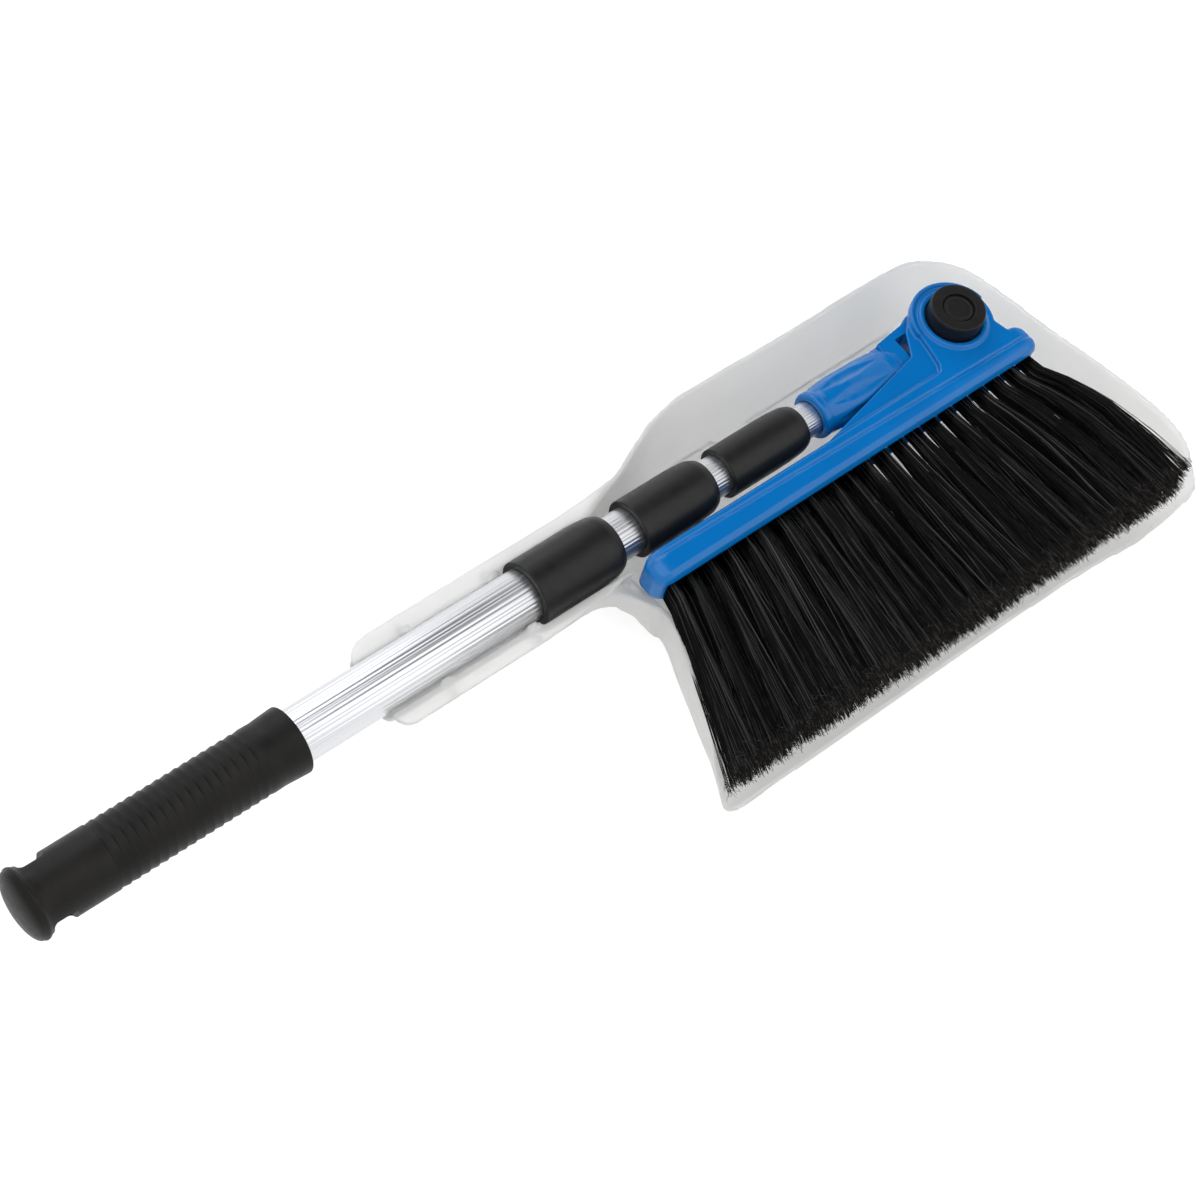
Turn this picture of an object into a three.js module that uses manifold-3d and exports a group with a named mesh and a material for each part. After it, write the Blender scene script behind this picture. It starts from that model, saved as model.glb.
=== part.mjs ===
// Dust pan and telescopic brush, stored as a set: the folded brush lies in the pan's handle trough.
//
// Millimetres. +Z is up and z = 0 is the flat underside of the pan. The telescopic handle runs along
// +Y from the grip to the brush head, on the line x = 0, z = HANDLE_Z. The bristles point along +X,
// towards the pan's lip. Distances along the handle are given from the tip of the grip ("stations")
// and moved by ORIGIN_STATION, so that y = 0 is the middle of the pan's base.

import * as THREE from 'three';
import { mergeVertices } from 'three/addons/utils/BufferGeometryUtils.js';
import Module from 'manifold-3d';

const wasm = await Module();
wasm.setup();

// ---- Driving dimensions ----------------------------------------------------------------------

const HANDLE_Z = 46;
const ORIGIN_STATION = 500;
const GAP = 0.3;

const TUBE_RADII = [14, 12.5, 11, 9.5];
const TUBE_WALL = 1;
const TUBE_SPANS = [[30, 325], [40, 390], [100, 455], [165, 515]];

const GRIP_FRONT = 150.7;
const GRIP_RINGS = 17;
const RING_FIRST = 46;
const RING_PITCH = 5;

const COLLAR_SPANS = [[291.2, 344.5], [358.4, 408.2], [418.6, 472.2]];
const COLLAR_RADII = [17.6, 15.9, 13.9];

const NECK_REAR = 482.7;
const PIVOT_STATION = 583.4;
const ARM_HALF = 7.2;
const EYE_RADIUS = 19;
const BOSS_RADIUS = 24;

const BAR_X = [20, 38];
const BAR_STATIONS = [346, 614];
const BAR_HALF = 12;

const BUTTON_RADIUS = 15.3;
const BUTTON_TRAVEL = 3;

const TUFT_COUNT = 22;

const PAN_FLOOR = 2.5;
const PAN_WALL = 2.4;
const RIM_STEPS = 3;
const DECK_HALF = 25.6;
const DECK_STATIONS = [197.5, 345];
const TROUGH_STEP = 288;
const TUBE_TROUGH = 15.6;
const COLLAR_TROUGHS = [18.2, 16.7];
const COLLAR_STEP = 346;
const COLLAR_CHANNEL_END = 420;
const REST_ROOM = 3;
const REST_LENGTH = 10;
const REST_RISE = 4;
const SKIRT_DEPTH = 16.5;
const NUB_STATIONS = [230, 283];
const NUB_X = [14.6, 18.5];
const NUB_HIGH = 1.7;

const COLOURS = {
  frosted: { color: 0xdedfdc, roughness: 0.35, metalness: 0 },
  black: { color: 0x2c2c2c, roughness: 0.5, metalness: 0 },
  aluminium: { color: 0xdcdee2, roughness: 0.25, metalness: 1 },
  blue: { color: 0x086bb8, roughness: 0.2, metalness: 0 },
  acetal: { color: 0xd8d6cc, roughness: 0.5, metalness: 0 },
  steel: { color: 0xa8a8a8, roughness: 0.35, metalness: 1 },
  bristle: { color: 0x151413, roughness: 0.7, metalness: 0 },
};

// ---- Geometry helpers ------------------------------------------------------------------------

const along = (station) => station - ORIGIN_STATION;

// A closed mesh becomes a solid: equal points are merged and needle triangles at the poles go.
function toSolid(geometry) {
  const bare = geometry.index ? geometry.toNonIndexed() : geometry.clone();
  bare.deleteAttribute('normal');
  bare.deleteAttribute('uv');
  const merged = mergeVertices(bare, 1e-4);
  const index = merged.index.array;
  const point = merged.attributes.position;
  const triangles = [];
  const corner = [new THREE.Vector3(), new THREE.Vector3(), new THREE.Vector3()];
  let volume = 0;
  for (let i = 0; i < index.length; i += 3) {
    const [a, b, c] = [index[i], index[i + 1], index[i + 2]];
    if (a === b || b === c || c === a) continue;
    triangles.push([a, b, c]);
    corner.forEach((v, k) => v.fromBufferAttribute(point, index[i + k]));
    volume += corner[0].dot(corner[1].clone().cross(corner[2]));
  }
  const triVerts = Uint32Array.from(triangles.flatMap(([a, b, c]) => (volume < 0 ? [a, c, b] : [a, b, c])));
  const vertProperties = Float32Array.from(point.array);
  return new wasm.Manifold(new wasm.Mesh({ numProp: 3, vertProperties, triVerts }));
}

function toGeometry(solid) {
  const mesh = solid.getMesh();
  const geometry = new THREE.BufferGeometry();
  geometry.setAttribute('position', new THREE.BufferAttribute(Float32Array.from(mesh.vertProperties), 3));
  geometry.setIndex(new THREE.BufferAttribute(Uint32Array.from(mesh.triVerts), 1));
  geometry.computeVertexNormals();
  return geometry;
}

// A profile of [radius, station] pairs turned about the handle's axis.
function turnedOnHandle(profile, segments = 24) {
  const points = profile.map(([r, station]) => new THREE.Vector2(r, along(station)));
  return toSolid(new THREE.LatheGeometry(points, segments).translate(0, 0, HANDLE_Z));
}

// A profile of [radius, height above the handle's axis] pairs turned about the pivot's axis.
function turnedOnPivot(profile, segments = 24) {
  const points = profile.map(([r, height]) => new THREE.Vector2(r, height));
  const lathe = new THREE.LatheGeometry(points, segments).rotateX(Math.PI / 2);
  return toSolid(lathe.translate(0, along(PIVOT_STATION), HANDLE_Z));
}

function ring(inner, outer, from, to) {
  return [[inner, from], [outer, from], [outer, to], [inner, to], [inner, from]];
}

function rod(radius, from, to) {
  return [[0, from], [radius, from], [radius, to], [0, to]];
}

// A plan shape in [x, station] raised between two heights above the handle's axis.
function raisedPlan(shape, low, high) {
  const geometry = new THREE.ExtrudeGeometry(shape, {
    depth: high - low, bevelEnabled: false, curveSegments: 8,
  });
  return toSolid(geometry.translate(0, -ORIGIN_STATION, HANDLE_Z + low));
}

// A section in [x, height above the floor] pushed along the handle between two stations.
function pushedSection(shape, from, to) {
  const geometry = new THREE.ExtrudeGeometry(shape, {
    depth: to - from, bevelEnabled: false, curveSegments: 16,
  });
  return toSolid(geometry.rotateX(Math.PI / 2).translate(0, along(to), 0));
}

// A box between two x values, two stations and two heights above the floor.
function block([x0, x1], [s0, s1], [z0, z1]) {
  const box = new THREE.BoxGeometry(x1 - x0, s1 - s0, z1 - z0);
  return toSolid(box.translate((x0 + x1) / 2, along((s0 + s1) / 2), (z0 + z1) / 2));
}

// A skin over rings of points that all have the same count, closed by a fan at each end.
function skin(rings) {
  const count = rings[0].length;
  const positions = [];
  const middle = (points) => points.reduce((sum, p) => sum.add(p), new THREE.Vector3()).divideScalar(count);
  const push = (...points) => points.forEach((p) => positions.push(p.x, p.y, p.z));
  const first = middle(rings[0]);
  const last = middle(rings[rings.length - 1]);
  for (let i = 0; i < count; i += 1) {
    const j = (i + 1) % count;
    push(first, rings[0][j], rings[0][i]);
    push(last, rings[rings.length - 1][i], rings[rings.length - 1][j]);
    for (let k = 0; k + 1 < rings.length; k += 1) {
      push(rings[k][i], rings[k][j], rings[k + 1][j]);
      push(rings[k][i], rings[k + 1][j], rings[k + 1][i]);
    }
  }
  const geometry = new THREE.BufferGeometry();
  geometry.setAttribute('position', new THREE.BufferAttribute(Float32Array.from(positions), 3));
  return toSolid(geometry);
}

const group = new THREE.Group();

function place(name, solid, look) {
  const mesh = new THREE.Mesh(toGeometry(solid), new THREE.MeshStandardMaterial(COLOURS[look]));
  mesh.name = name;
  group.add(mesh);
}

// ---- Dust pan --------------------------------------------------------------------------------

// The pan's walls: x and station of the rim, its height, and how far the floor's edge lies inside it.
// They run from the near end of the lip along the lip, round the far end and the rear wall, and back
// along the near side.
const PAN_RIM = [
  { x: 139.4, station: 340, high: 2.8, inset: 3 },
  { x: 139.5, station: 400, high: 2.8, inset: 3 },
  { x: 139.7, station: 500, high: 2.8, inset: 3 },
  { x: 142.5, station: 591, high: 2.8, inset: 3 },
  { x: 144, station: 612, high: 2.8, inset: 3 },
  { x: 142.5, station: 645, high: 3.2, inset: 4 },
  { x: 137.5, station: 665, high: 4.6, inset: 5 },
  { x: 117, station: 678, high: 8.4, inset: 7 },
  { x: 103, station: 680, high: 10.5, inset: 9 },
  { x: 85, station: 676.5, high: 14, inset: 10 },
  { x: 52, station: 665, high: 20, inset: 11 },
  { x: 21.5, station: 653.5, high: 24.5, inset: 12 },
  { x: -11.5, station: 645.5, high: 26.3, inset: 13 },
  { x: -30, station: 638, high: 28.6, inset: 13 },
  { x: -44.5, station: 615, high: 38, inset: 13 },
  { x: -51, station: 591, high: 40.5, inset: 14 },
  { x: -51, station: 523, high: 40.5, inset: 15 },
  { x: -51, station: 447, high: 41.5, inset: 15 },
  { x: -45.5, station: 411, high: 43.4, inset: 12 },
  { x: -36.5, station: 389, high: 45, inset: 10 },
  { x: -26, station: 361, high: 45.5, inset: 8 },
  { x: -20, station: 348, high: 45.5, inset: 7 },
  { x: -8, station: 341, high: 45.5, inset: 7 },
  { x: 10, station: 338, high: 44, inset: 7 },
  { x: 24, station: 340, high: 35, inset: 5 },
  { x: 38, station: 346, high: 29, inset: 4 },
  { x: 50, station: 343.6, high: 29, inset: 3 },
  { x: 73, station: 335.2, high: 29.5, inset: 3 },
  { x: 93, station: 327.4, high: 28, inset: 3 },
  { x: 110, station: 322, high: 21.5, inset: 3 },
  { x: 124.5, station: 318.5, high: 12.5, inset: 3.5 },
  { x: 135, station: 317.2, high: 6.5, inset: 3.5 },
  { x: 138.8, station: 322, high: 3.6, inset: 3 },
];

// Unit vectors in plan that point into the pan at every point of a closed rim.
function inwardNormals(points) {
  const count = points.length;
  return points.map((_, i) => {
    const ahead = points[(i + 2) % count];
    const behind = points[(i + count - 2) % count];
    return new THREE.Vector3(behind.y - ahead.y, ahead.x - behind.x, 0).normalize();
  });
}

function panTub() {
  const rimCurve = new THREE.CatmullRomCurve3(
    PAN_RIM.map((p) => new THREE.Vector3(p.x, along(p.station), p.high)), true, 'centripetal');
  const insetCurve = new THREE.CatmullRomCurve3(
    PAN_RIM.map((p) => new THREE.Vector3(p.inset, along(p.station), p.x)), true, 'centripetal');
  const steps = PAN_RIM.length * RIM_STEPS;
  const rimPoints = Array.from({ length: steps }, (_, i) => rimCurve.getPoint(i / steps));
  const normals = inwardNormals(rimPoints);
  const outer = [[], []];
  const inner = [[], [], []];
  rimPoints.forEach((rim, i) => {
    const inset = insetCurve.getPoint(i / steps).x;
    const inside = (distance) => rim.clone().addScaledVector(normals[i], distance);
    const floorHeight = Math.min(PAN_FLOOR, rim.z - GAP);
    const edge = inside(inset + PAN_WALL);
    const lip = inside(PAN_WALL);
    const slope = new THREE.Vector3().subVectors(lip, edge).divideScalar(rim.z - floorHeight);
    const over = new THREE.Vector3(lip.x + slope.x, lip.y + slope.y, rim.z + 1);
    outer[0].push(inside(inset).setZ(0));
    outer[1].push(rim.clone());
    inner[0].push(edge.clone().setZ(floorHeight));
    inner[1].push(over);
    inner[2].push(over.clone().setZ(HANDLE_Z + 14));
  });
  return { outer: skin(outer), inner: skin(inner) };
}

// A U-shaped channel, round below and open to the top, that a tube or collar drops into.
function channel(radius, from, to) {
  const shape = new THREE.Shape();
  shape.moveTo(radius, 80);
  shape.lineTo(radius, HANDLE_Z);
  shape.absarc(0, HANDLE_Z, radius, 0, Math.PI, true);
  shape.lineTo(-radius, 80);
  shape.closePath();
  return pushedSection(shape, from, to);
}

function roundedDeck() {
  const [from, to] = DECK_STATIONS;
  const corner = 8.5;
  const shape = new THREE.Shape();
  shape.moveTo(DECK_HALF, to);
  shape.lineTo(-DECK_HALF, to);
  shape.lineTo(-DECK_HALF, from + corner);
  shape.absarc(-DECK_HALF + corner, from + corner, corner, Math.PI, 1.5 * Math.PI, false);
  shape.lineTo(DECK_HALF - corner, from);
  shape.absarc(DECK_HALF - corner, from + corner, corner, 1.5 * Math.PI, 2 * Math.PI, false);
  shape.closePath();
  return raisedPlan(shape, 25 - HANDLE_Z, 0);
}

// The handle's deck is a shell: below it, only the trough's round wall and the skirts are solid.
function deckShell() {
  const end = TROUGH_STEP - 5;
  const bottom = 20;
  const troughWall = turnedOnHandle(rod(TUBE_TROUGH + PAN_WALL, DECK_STATIONS[0], end));
  const inside = block([-DECK_HALF + PAN_WALL, DECK_HALF - PAN_WALL],
    [DECK_STATIONS[0] + PAN_WALL, end], [bottom, HANDLE_Z - PAN_WALL]);
  const underCut = block([-40, 40], [DECK_STATIONS[0] - 5, end], [bottom, HANDLE_Z - SKIRT_DEPTH]);
  return roundedDeck().subtract(inside.subtract(troughWall)).subtract(underCut.subtract(troughWall));
}

function snapNubs() {
  const nubs = [];
  for (const station of NUB_STATIONS) {
    for (const side of [-1, 1]) {
      const x = [side * NUB_X[0], side * NUB_X[1]].sort((a, b) => a - b);
      nubs.push(block(x, [station - 2.6, station + 2.6], [HANDLE_Z - 1, HANDLE_Z + NUB_HIGH]));
    }
  }
  return nubs;
}

// The hollow in the near wall that the bar's rounded end lies in.
function barRest() {
  const wide = [BAR_X[0] - REST_ROOM, BAR_X[1] + REST_ROOM];
  const long = [BAR_STATIONS[0] - REST_ROOM, BAR_STATIONS[0] + REST_LENGTH];
  return block(wide, long, [HANDLE_Z - BAR_HALF - REST_ROOM, HANDLE_Z + REST_RISE]);
}

function dustpan() {
  const tub = panTub();
  const rearWall = tub.outer.subtract(tub.inner);
  let pan = deckShell().subtract(tub.inner).add(rearWall);
  pan = pan.subtract(channel(TUBE_TROUGH, DECK_STATIONS[0] - 5, TROUGH_STEP));
  pan = pan.subtract(channel(COLLAR_TROUGHS[0], TROUGH_STEP - GAP, COLLAR_STEP + 1));
  pan = pan.subtract(channel(COLLAR_TROUGHS[1], COLLAR_STEP, COLLAR_CHANNEL_END));
  for (const nub of snapNubs()) pan = pan.add(nub);
  return pan.subtract(barRest());
}

place('dustpan', dustpan(), 'frosted');

// ---- Telescopic handle -----------------------------------------------------------------------

function gripProfile() {
  const outline = [[0, 0], [8, 0.9], [13.5, 3], [17.4, 5.6], [18.6, 7.3], [18.4, 9], [16.2, 12],
    [15, 15.5], [15.2, 20], [16.9, 25]];
  for (let i = 0; i < GRIP_RINGS; i += 1) {
    const start = RING_FIRST + i * RING_PITCH;
    outline.push([16.9, start], [16.2, start + 1.2]);
  }
  outline.push([16.7, RING_FIRST + GRIP_RINGS * RING_PITCH], [17.4, GRIP_FRONT - 4], [17.6, GRIP_FRONT - 1],
    [17, GRIP_FRONT]);
  const bore = TUBE_RADII[0] + GAP;
  return [...outline, [bore, GRIP_FRONT], [bore, TUBE_SPANS[0][0] - GAP], [0, TUBE_SPANS[0][0] - GAP]];
}

const HANG_SLOT = { stations: [9.5, 23.5], half: 5 };

function grip() {
  const slot = block([-30, 30], HANG_SLOT.stations, [HANDLE_Z - HANG_SLOT.half, HANDLE_Z + HANG_SLOT.half]);
  return turnedOnHandle(gripProfile(), 16).subtract(slot);
}

place('grip', grip(), 'black');

TUBE_RADII.forEach((radius, i) => {
  place(`tube_${i + 1}`, turnedOnHandle(ring(radius - TUBE_WALL, radius, ...TUBE_SPANS[i])), 'aluminium');
});

// A collar turns on its tube's collet and closes it on the next tube.
function collar(i) {
  const [from, to] = COLLAR_SPANS[i];
  const outer = COLLAR_RADII[i];
  const nose = TUBE_RADII[i + 1] + 0.4;
  const bore = TUBE_RADII[i] + 1.9;
  const taper = to - 12;
  return turnedOnHandle([[bore, from], [outer - 0.6, from], [outer, from + 0.8], [outer, taper],
    [nose + 0.75 * (outer - nose), to - 4.5], [nose + 1.1, to - 0.8], [nose, to], [nose, to - 2.5],
    [bore, taper - 1], [bore, from]]);
}

// The collet is a sleeve fixed on the tube's end, with split fingers round the next tube.
function collet(i) {
  const [from, to] = COLLAR_SPANS[i];
  const end = TUBE_SPANS[i][1];
  const outer = TUBE_RADII[i] + 1.5;
  const grips = TUBE_RADII[i + 1] + GAP;
  const profile = [[TUBE_RADII[i] + GAP, from + 6], [outer, from + 6], [outer, to - 15],
    [TUBE_RADII[i] + 0.6, to - 13.5], [grips, to - 13.5], [grips, end + GAP], [TUBE_RADII[i] + GAP, end + GAP],
    [TUBE_RADII[i] + GAP, from + 6]];
  const split = [end + 1.5, to];
  const across = block([-30, 30], split, [HANDLE_Z - 1, HANDLE_Z + 1]);
  const upright = block([-1, 1], split, [HANDLE_Z - 30, HANDLE_Z + 30]);
  return turnedOnHandle(profile).subtract(across).subtract(upright);
}

// A plug in the inner end of a tube, whose flange slides in the tube outside it.
function endPlug(i) {
  const start = TUBE_SPANS[i][0];
  const shank = TUBE_RADII[i] - TUBE_WALL - GAP;
  const flange = TUBE_RADII[i] + 0.25;
  const bore = shank - 2.5;
  return turnedOnHandle([[bore, start - 5], [flange, start - 5], [flange, start - GAP], [shank, start - GAP],
    [shank, start + 14], [bore, start + 14], [bore, start - 5]]);
}

COLLAR_SPANS.forEach((span, i) => {
  place(`twist_collar_${i + 1}`, collar(i), 'black');
  place(`collet_${i + 1}`, collet(i), 'acetal');
  place(`end_plug_${i + 2}`, endPlug(i + 1), 'acetal');
});

// ---- Neck ------------------------------------------------------------------------------------

// Oval sections of the neck: station, half width and half thickness.
const NECK_SECTIONS = [
  { station: NECK_REAR, wide: 11.6, thick: 11.6 },
  { station: NECK_REAR + 1.6, wide: 13, thick: 13 },
  { station: 492, wide: 13.4, thick: 13.4 },
  { station: 506, wide: 14.4, thick: 13.2 },
  { station: 522, wide: 14.2, thick: 10.6 },
  { station: 538, wide: 13.6, thick: 8.4 },
  { station: 544, wide: 13.4, thick: 7.4 },
];
const NECK_SIDES = 24;

function ovalRing({ station, wide, thick }) {
  const points = [];
  for (let i = 0; i < NECK_SIDES; i += 1) {
    const angle = (2 * Math.PI * i) / NECK_SIDES;
    points.push(new THREE.Vector3(wide * Math.cos(angle), along(station), HANDLE_Z + thick * Math.sin(angle)));
  }
  return points;
}

function arm() {
  const shape = new THREE.Shape();
  shape.moveTo(-12.5, 540);
  shape.lineTo(12.5, 540);
  shape.lineTo(EYE_RADIUS * Math.cos(0.5), PIVOT_STATION - EYE_RADIUS * Math.sin(0.5));
  shape.absarc(0, PIVOT_STATION, EYE_RADIUS, -0.5, Math.PI + 0.5, false);
  shape.closePath();
  const window = new THREE.Path();
  window.moveTo(-9, 551);
  window.lineTo(3, 551);
  window.lineTo(3, 559);
  window.lineTo(-9, 559);
  window.closePath();
  shape.holes.push(window);
  const hub = new THREE.Path();
  hub.absarc(0, PIVOT_STATION, 10, 0, 2 * Math.PI, false);
  shape.holes.push(hub);
  return raisedPlan(shape, -ARM_HALF, ARM_HALF);
}

function neck() {
  const socket = turnedOnHandle(rod(TUBE_RADII[3] + GAP, NECK_REAR - 5, TUBE_SPANS[3][1] + GAP));
  return skin(NECK_SECTIONS.map(ovalRing)).add(arm()).subtract(socket);
}

place('neck', neck(), 'blue');

// ---- Brush head ------------------------------------------------------------------------------

const UPPER_PLATE = [7.6, 11.6];
const LOWER_PLATE = [-16.5, -7.6];
const BOSS_TOP = 13.2;
const RECESS_FLOOR = 9.4;

function barPlan() {
  const [rear, front] = BAR_X;
  const [near, far] = BAR_STATIONS;
  const shape = new THREE.Shape();
  shape.moveTo(front, near + 9);
  shape.lineTo(front, far - 5);
  shape.absarc(front - 5, far - 5, 5, 0, 0.5 * Math.PI, false);
  shape.lineTo(rear + 8, far);
  shape.lineTo(rear, far - 10);
  shape.lineTo(rear, near + 9);
  shape.absarc((rear + front) / 2, near + 9, (front - rear) / 2, Math.PI, 2 * Math.PI, false);
  shape.closePath();
  return shape;
}

// The plates above and below the arm: a round boss on the pivot, and a long web out to the bar.
function platePlan() {
  const shape = new THREE.Shape();
  shape.moveTo(BAR_X[0] + 4, 466);
  shape.lineTo(BAR_X[0] + 4, 606);
  shape.lineTo(BOSS_RADIUS * Math.cos(1), PIVOT_STATION + BOSS_RADIUS * Math.sin(1));
  shape.absarc(0, PIVOT_STATION, BOSS_RADIUS, 1, Math.PI + 0.62, false);
  shape.lineTo(-9, 557);
  shape.lineTo(5.5, 548);
  shape.lineTo(BAR_X[0] + 0.5, 474);
  shape.closePath();
  return shape;
}

function tuftSlot(i) {
  const root = tuftRoot(i);
  return block([BAR_X[1] - 6, BAR_X[1] + 5], [root - 3.1, root + 3.1], [HANDLE_Z - 9.1, HANDLE_Z + 9.1]);
}

function head() {
  let solid = raisedPlan(barPlan(), -BAR_HALF, BAR_HALF);
  solid = solid.add(raisedPlan(platePlan(), ...UPPER_PLATE)).add(raisedPlan(platePlan(), ...LOWER_PLATE));
  solid = solid.add(turnedOnPivot(rod(BOSS_RADIUS - 0.2, UPPER_PLATE[0] + 0.5, BOSS_TOP)));
  solid = solid.add(turnedOnPivot(ring(BUTTON_RADIUS + 0.5, BUTTON_RADIUS + 3.4, RECESS_FLOOR - 1, 14.2)));
  solid = solid.subtract(turnedOnPivot(rod(BUTTON_RADIUS + 0.5, RECESS_FLOOR, 20)));
  solid = solid.subtract(turnedOnPivot(rod(5, 0, 20)));
  solid = solid.subtract(turnedOnPivot(rod(9.6, LOWER_PLATE[0] - 2, -ARM_HALF)));
  solid = solid.subtract(turnedOnPivot(rod(EYE_RADIUS + 0.8, UPPER_PLATE[0] - 15, UPPER_PLATE[0])));
  for (let i = 0; i < TUFT_COUNT; i += 1) solid = solid.subtract(tuftSlot(i));
  return solid;
}

// ---- Fold lock: button, lock gear, spring ----------------------------------------------------

const GEAR_HEIGHTS = [-6.8, 0.7];

function button() {
  const top = 23.2;
  const bottom = RECESS_FLOOR + BUTTON_TRAVEL + 0.2;
  const stemEnd = GEAR_HEIGHTS[1] + GAP;
  return turnedOnPivot([[0, top - 1.2], [7.6, top - 1.2], [7.6, top - 2], [8.8, top - 2], [8.8, top],
    [BUTTON_RADIUS - 0.8, top], [BUTTON_RADIUS, top - 0.8], [BUTTON_RADIUS, bottom], [12.5, bottom],
    [12.5, bottom + 3], [4.6, bottom + 3], [4.6, stemEnd], [2.2, stemEnd], [2.2, stemEnd + 8], [0, stemEnd + 8]]);
}

function lockGear() {
  const teeth = 12;
  const shape = new THREE.Shape();
  for (let i = 0; i < teeth; i += 1) {
    const pitch = (2 * Math.PI) / teeth;
    const edges = [[7.6, 0.05], [9, 0.2], [9, 0.5], [7.6, 0.65]];
    edges.forEach(([r, part], k) => {
      const angle = (i + part) * pitch;
      const [x, y] = [r * Math.cos(angle), PIVOT_STATION + r * Math.sin(angle)];
      if (i + k === 0) shape.moveTo(x, y);
      else shape.lineTo(x, y);
    });
  }
  shape.closePath();
  return raisedPlan(shape, ...GEAR_HEIGHTS).subtract(turnedOnPivot(rod(2.3, -20, 20), 16));
}

function spring() {
  const turns = 3;
  const [low, high] = [-14.2, -7.8];
  class Coil extends THREE.Curve {
    getPoint(t, target = new THREE.Vector3()) {
      const angle = 2 * Math.PI * turns * t;
      return target.set(6.6 * Math.cos(angle), 6.6 * Math.sin(angle), low + (high - low) * t);
    }
  }
  const wire = new THREE.Shape();
  wire.absarc(0, 0, 0.5, 0, 2 * Math.PI, false);
  const geometry = new THREE.ExtrudeGeometry(wire, {
    steps: turns * 12, bevelEnabled: false, curveSegments: 3, extrudePath: new Coil(),
  });
  return toSolid(geometry.translate(0, along(PIVOT_STATION), HANDLE_Z));
}

function buttonScrew() {
  return turnedOnPivot([[0, -9.4], [3.8, -9.4], [3.8, -7.1], [1.9, -7.1], [1.9, 7], [0, 7]], 16);
}

place('brush_head', head(), 'blue');
place('fold_button', button(), 'black');
place('lock_gear', lockGear(), 'acetal');
place('button_screw', buttonScrew(), 'steel');
place('button_spring', spring(), 'steel');
place('spring_cover', turnedOnPivot(rod(9.2, -16.5, -14.9)), 'blue');

// ---- Bristles --------------------------------------------------------------------------------

function tuftRoot(i) {
  return 355 + (i * (606 - 355)) / (TUFT_COUNT - 1);
}

// Each tuft stands straight in its slot in the bar, then fans out. The outer tufts lean outwards.
const TUFT_TIP_X = [139.5, 144.5];
const TUFT_TIP_STATIONS = [322, 624];
const TUFT_ROOT = { half: 2.7, up: 8.6, down: 8.6 };
const TUFT_TIP = { up: 12.5, down: 19, slant: 6 };

function tuft(i) {
  const t = i / (TUFT_COUNT - 1);
  const root = tuftRoot(i);
  const [nearTip, farTip] = TUFT_TIP_STATIONS;
  const tip = nearTip + t * (farTip - nearTip);
  const tipHalf = (farTip - nearTip) / (TUFT_COUNT - 1) / 2 - GAP / 2;
  const bow = 10 * Math.max(0, t - 0.5);
  const mouth = BAR_X[1] + 0.4;
  const mix = THREE.MathUtils.lerp;
  const ringAt = (x, s) => {
    const station = mix(root, tip, s) + bow * Math.sin(Math.PI * s);
    const half = mix(TUFT_ROOT.half, tipHalf, s);
    const up = mix(TUFT_ROOT.up, TUFT_TIP.up, s ** 0.8);
    const down = mix(TUFT_ROOT.down, TUFT_TIP.down, s ** 0.8);
    const slant = s === 1 ? TUFT_TIP.slant : 0;
    return [[half, up], [-half, up], [-half, -down], [half, -down]].map(([side, height]) => (
      new THREE.Vector3(x - (height > 0 ? slant : 0), along(station + side), HANDLE_Z + height)));
  };
  const reach = mix(...TUFT_TIP_X, t);
  const fan = [0, 0.33, 0.67, 1].map((s) => ringAt(mix(mouth, reach, s), s));
  return skin([ringAt(BAR_X[1] - 5.5, 0), ...fan]);
}

for (let i = 0; i < TUFT_COUNT; i += 1) {
  place(`bristle_tuft_${String(i + 1).padStart(2, '0')}`, tuft(i), 'bristle');
}

export default group;
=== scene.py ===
"""Looks of the dust pan and telescopic brush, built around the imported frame.

Lengths are millimetres until a mesh is made, and then metres. The row frame has +Y along the handle
from grip to head, +X towards the pan's lip and the bristle tips, and +Z up from the pan's base.
Heights called "level" are measured from the handle's axis.
"""

import math

import bmesh
import bpy
import numpy as np
from mathutils import Matrix, Vector


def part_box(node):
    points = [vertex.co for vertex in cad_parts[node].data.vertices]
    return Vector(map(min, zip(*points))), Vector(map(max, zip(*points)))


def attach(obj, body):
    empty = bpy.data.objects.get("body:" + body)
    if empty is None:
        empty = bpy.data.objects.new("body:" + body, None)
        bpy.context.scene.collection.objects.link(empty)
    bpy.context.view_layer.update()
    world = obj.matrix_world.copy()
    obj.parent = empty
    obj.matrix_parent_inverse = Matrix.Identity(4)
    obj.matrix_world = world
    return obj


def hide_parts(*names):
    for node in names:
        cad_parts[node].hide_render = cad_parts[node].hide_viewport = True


MM = 0.001
SEED = 4711

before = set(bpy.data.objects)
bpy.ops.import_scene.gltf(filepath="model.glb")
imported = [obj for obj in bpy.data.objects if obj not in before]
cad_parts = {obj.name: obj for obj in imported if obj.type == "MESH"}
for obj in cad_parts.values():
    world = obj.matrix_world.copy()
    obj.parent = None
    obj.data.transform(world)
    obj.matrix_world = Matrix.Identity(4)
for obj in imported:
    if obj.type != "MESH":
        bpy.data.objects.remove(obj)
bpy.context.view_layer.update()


# ---- Places taken from the frame -------------------------------------


def box_mm(node):
    """Lowest and highest corner of a CAD node, in millimetres."""
    low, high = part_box(node)
    return low / MM, high / MM


HANDLE_Z = sum(corner.z for corner in box_mm("tube_1")) / 2
PIVOT_Y = sum(corner.y for corner in box_mm("fold_button")) / 2
GRIP_Y = box_mm("grip")[0].y
BUTTON_TOP = box_mm("fold_button")[1].z - HANDLE_Z
BAR_NEAR = box_mm("brush_head")[0].y
BAR_FAR = box_mm("brush_head")[1].y


def along(station):
    """Row y of a distance from the tip of the grip."""
    return station + GRIP_Y


# ---- Mesh helpers ----------------------------------------------------


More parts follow.
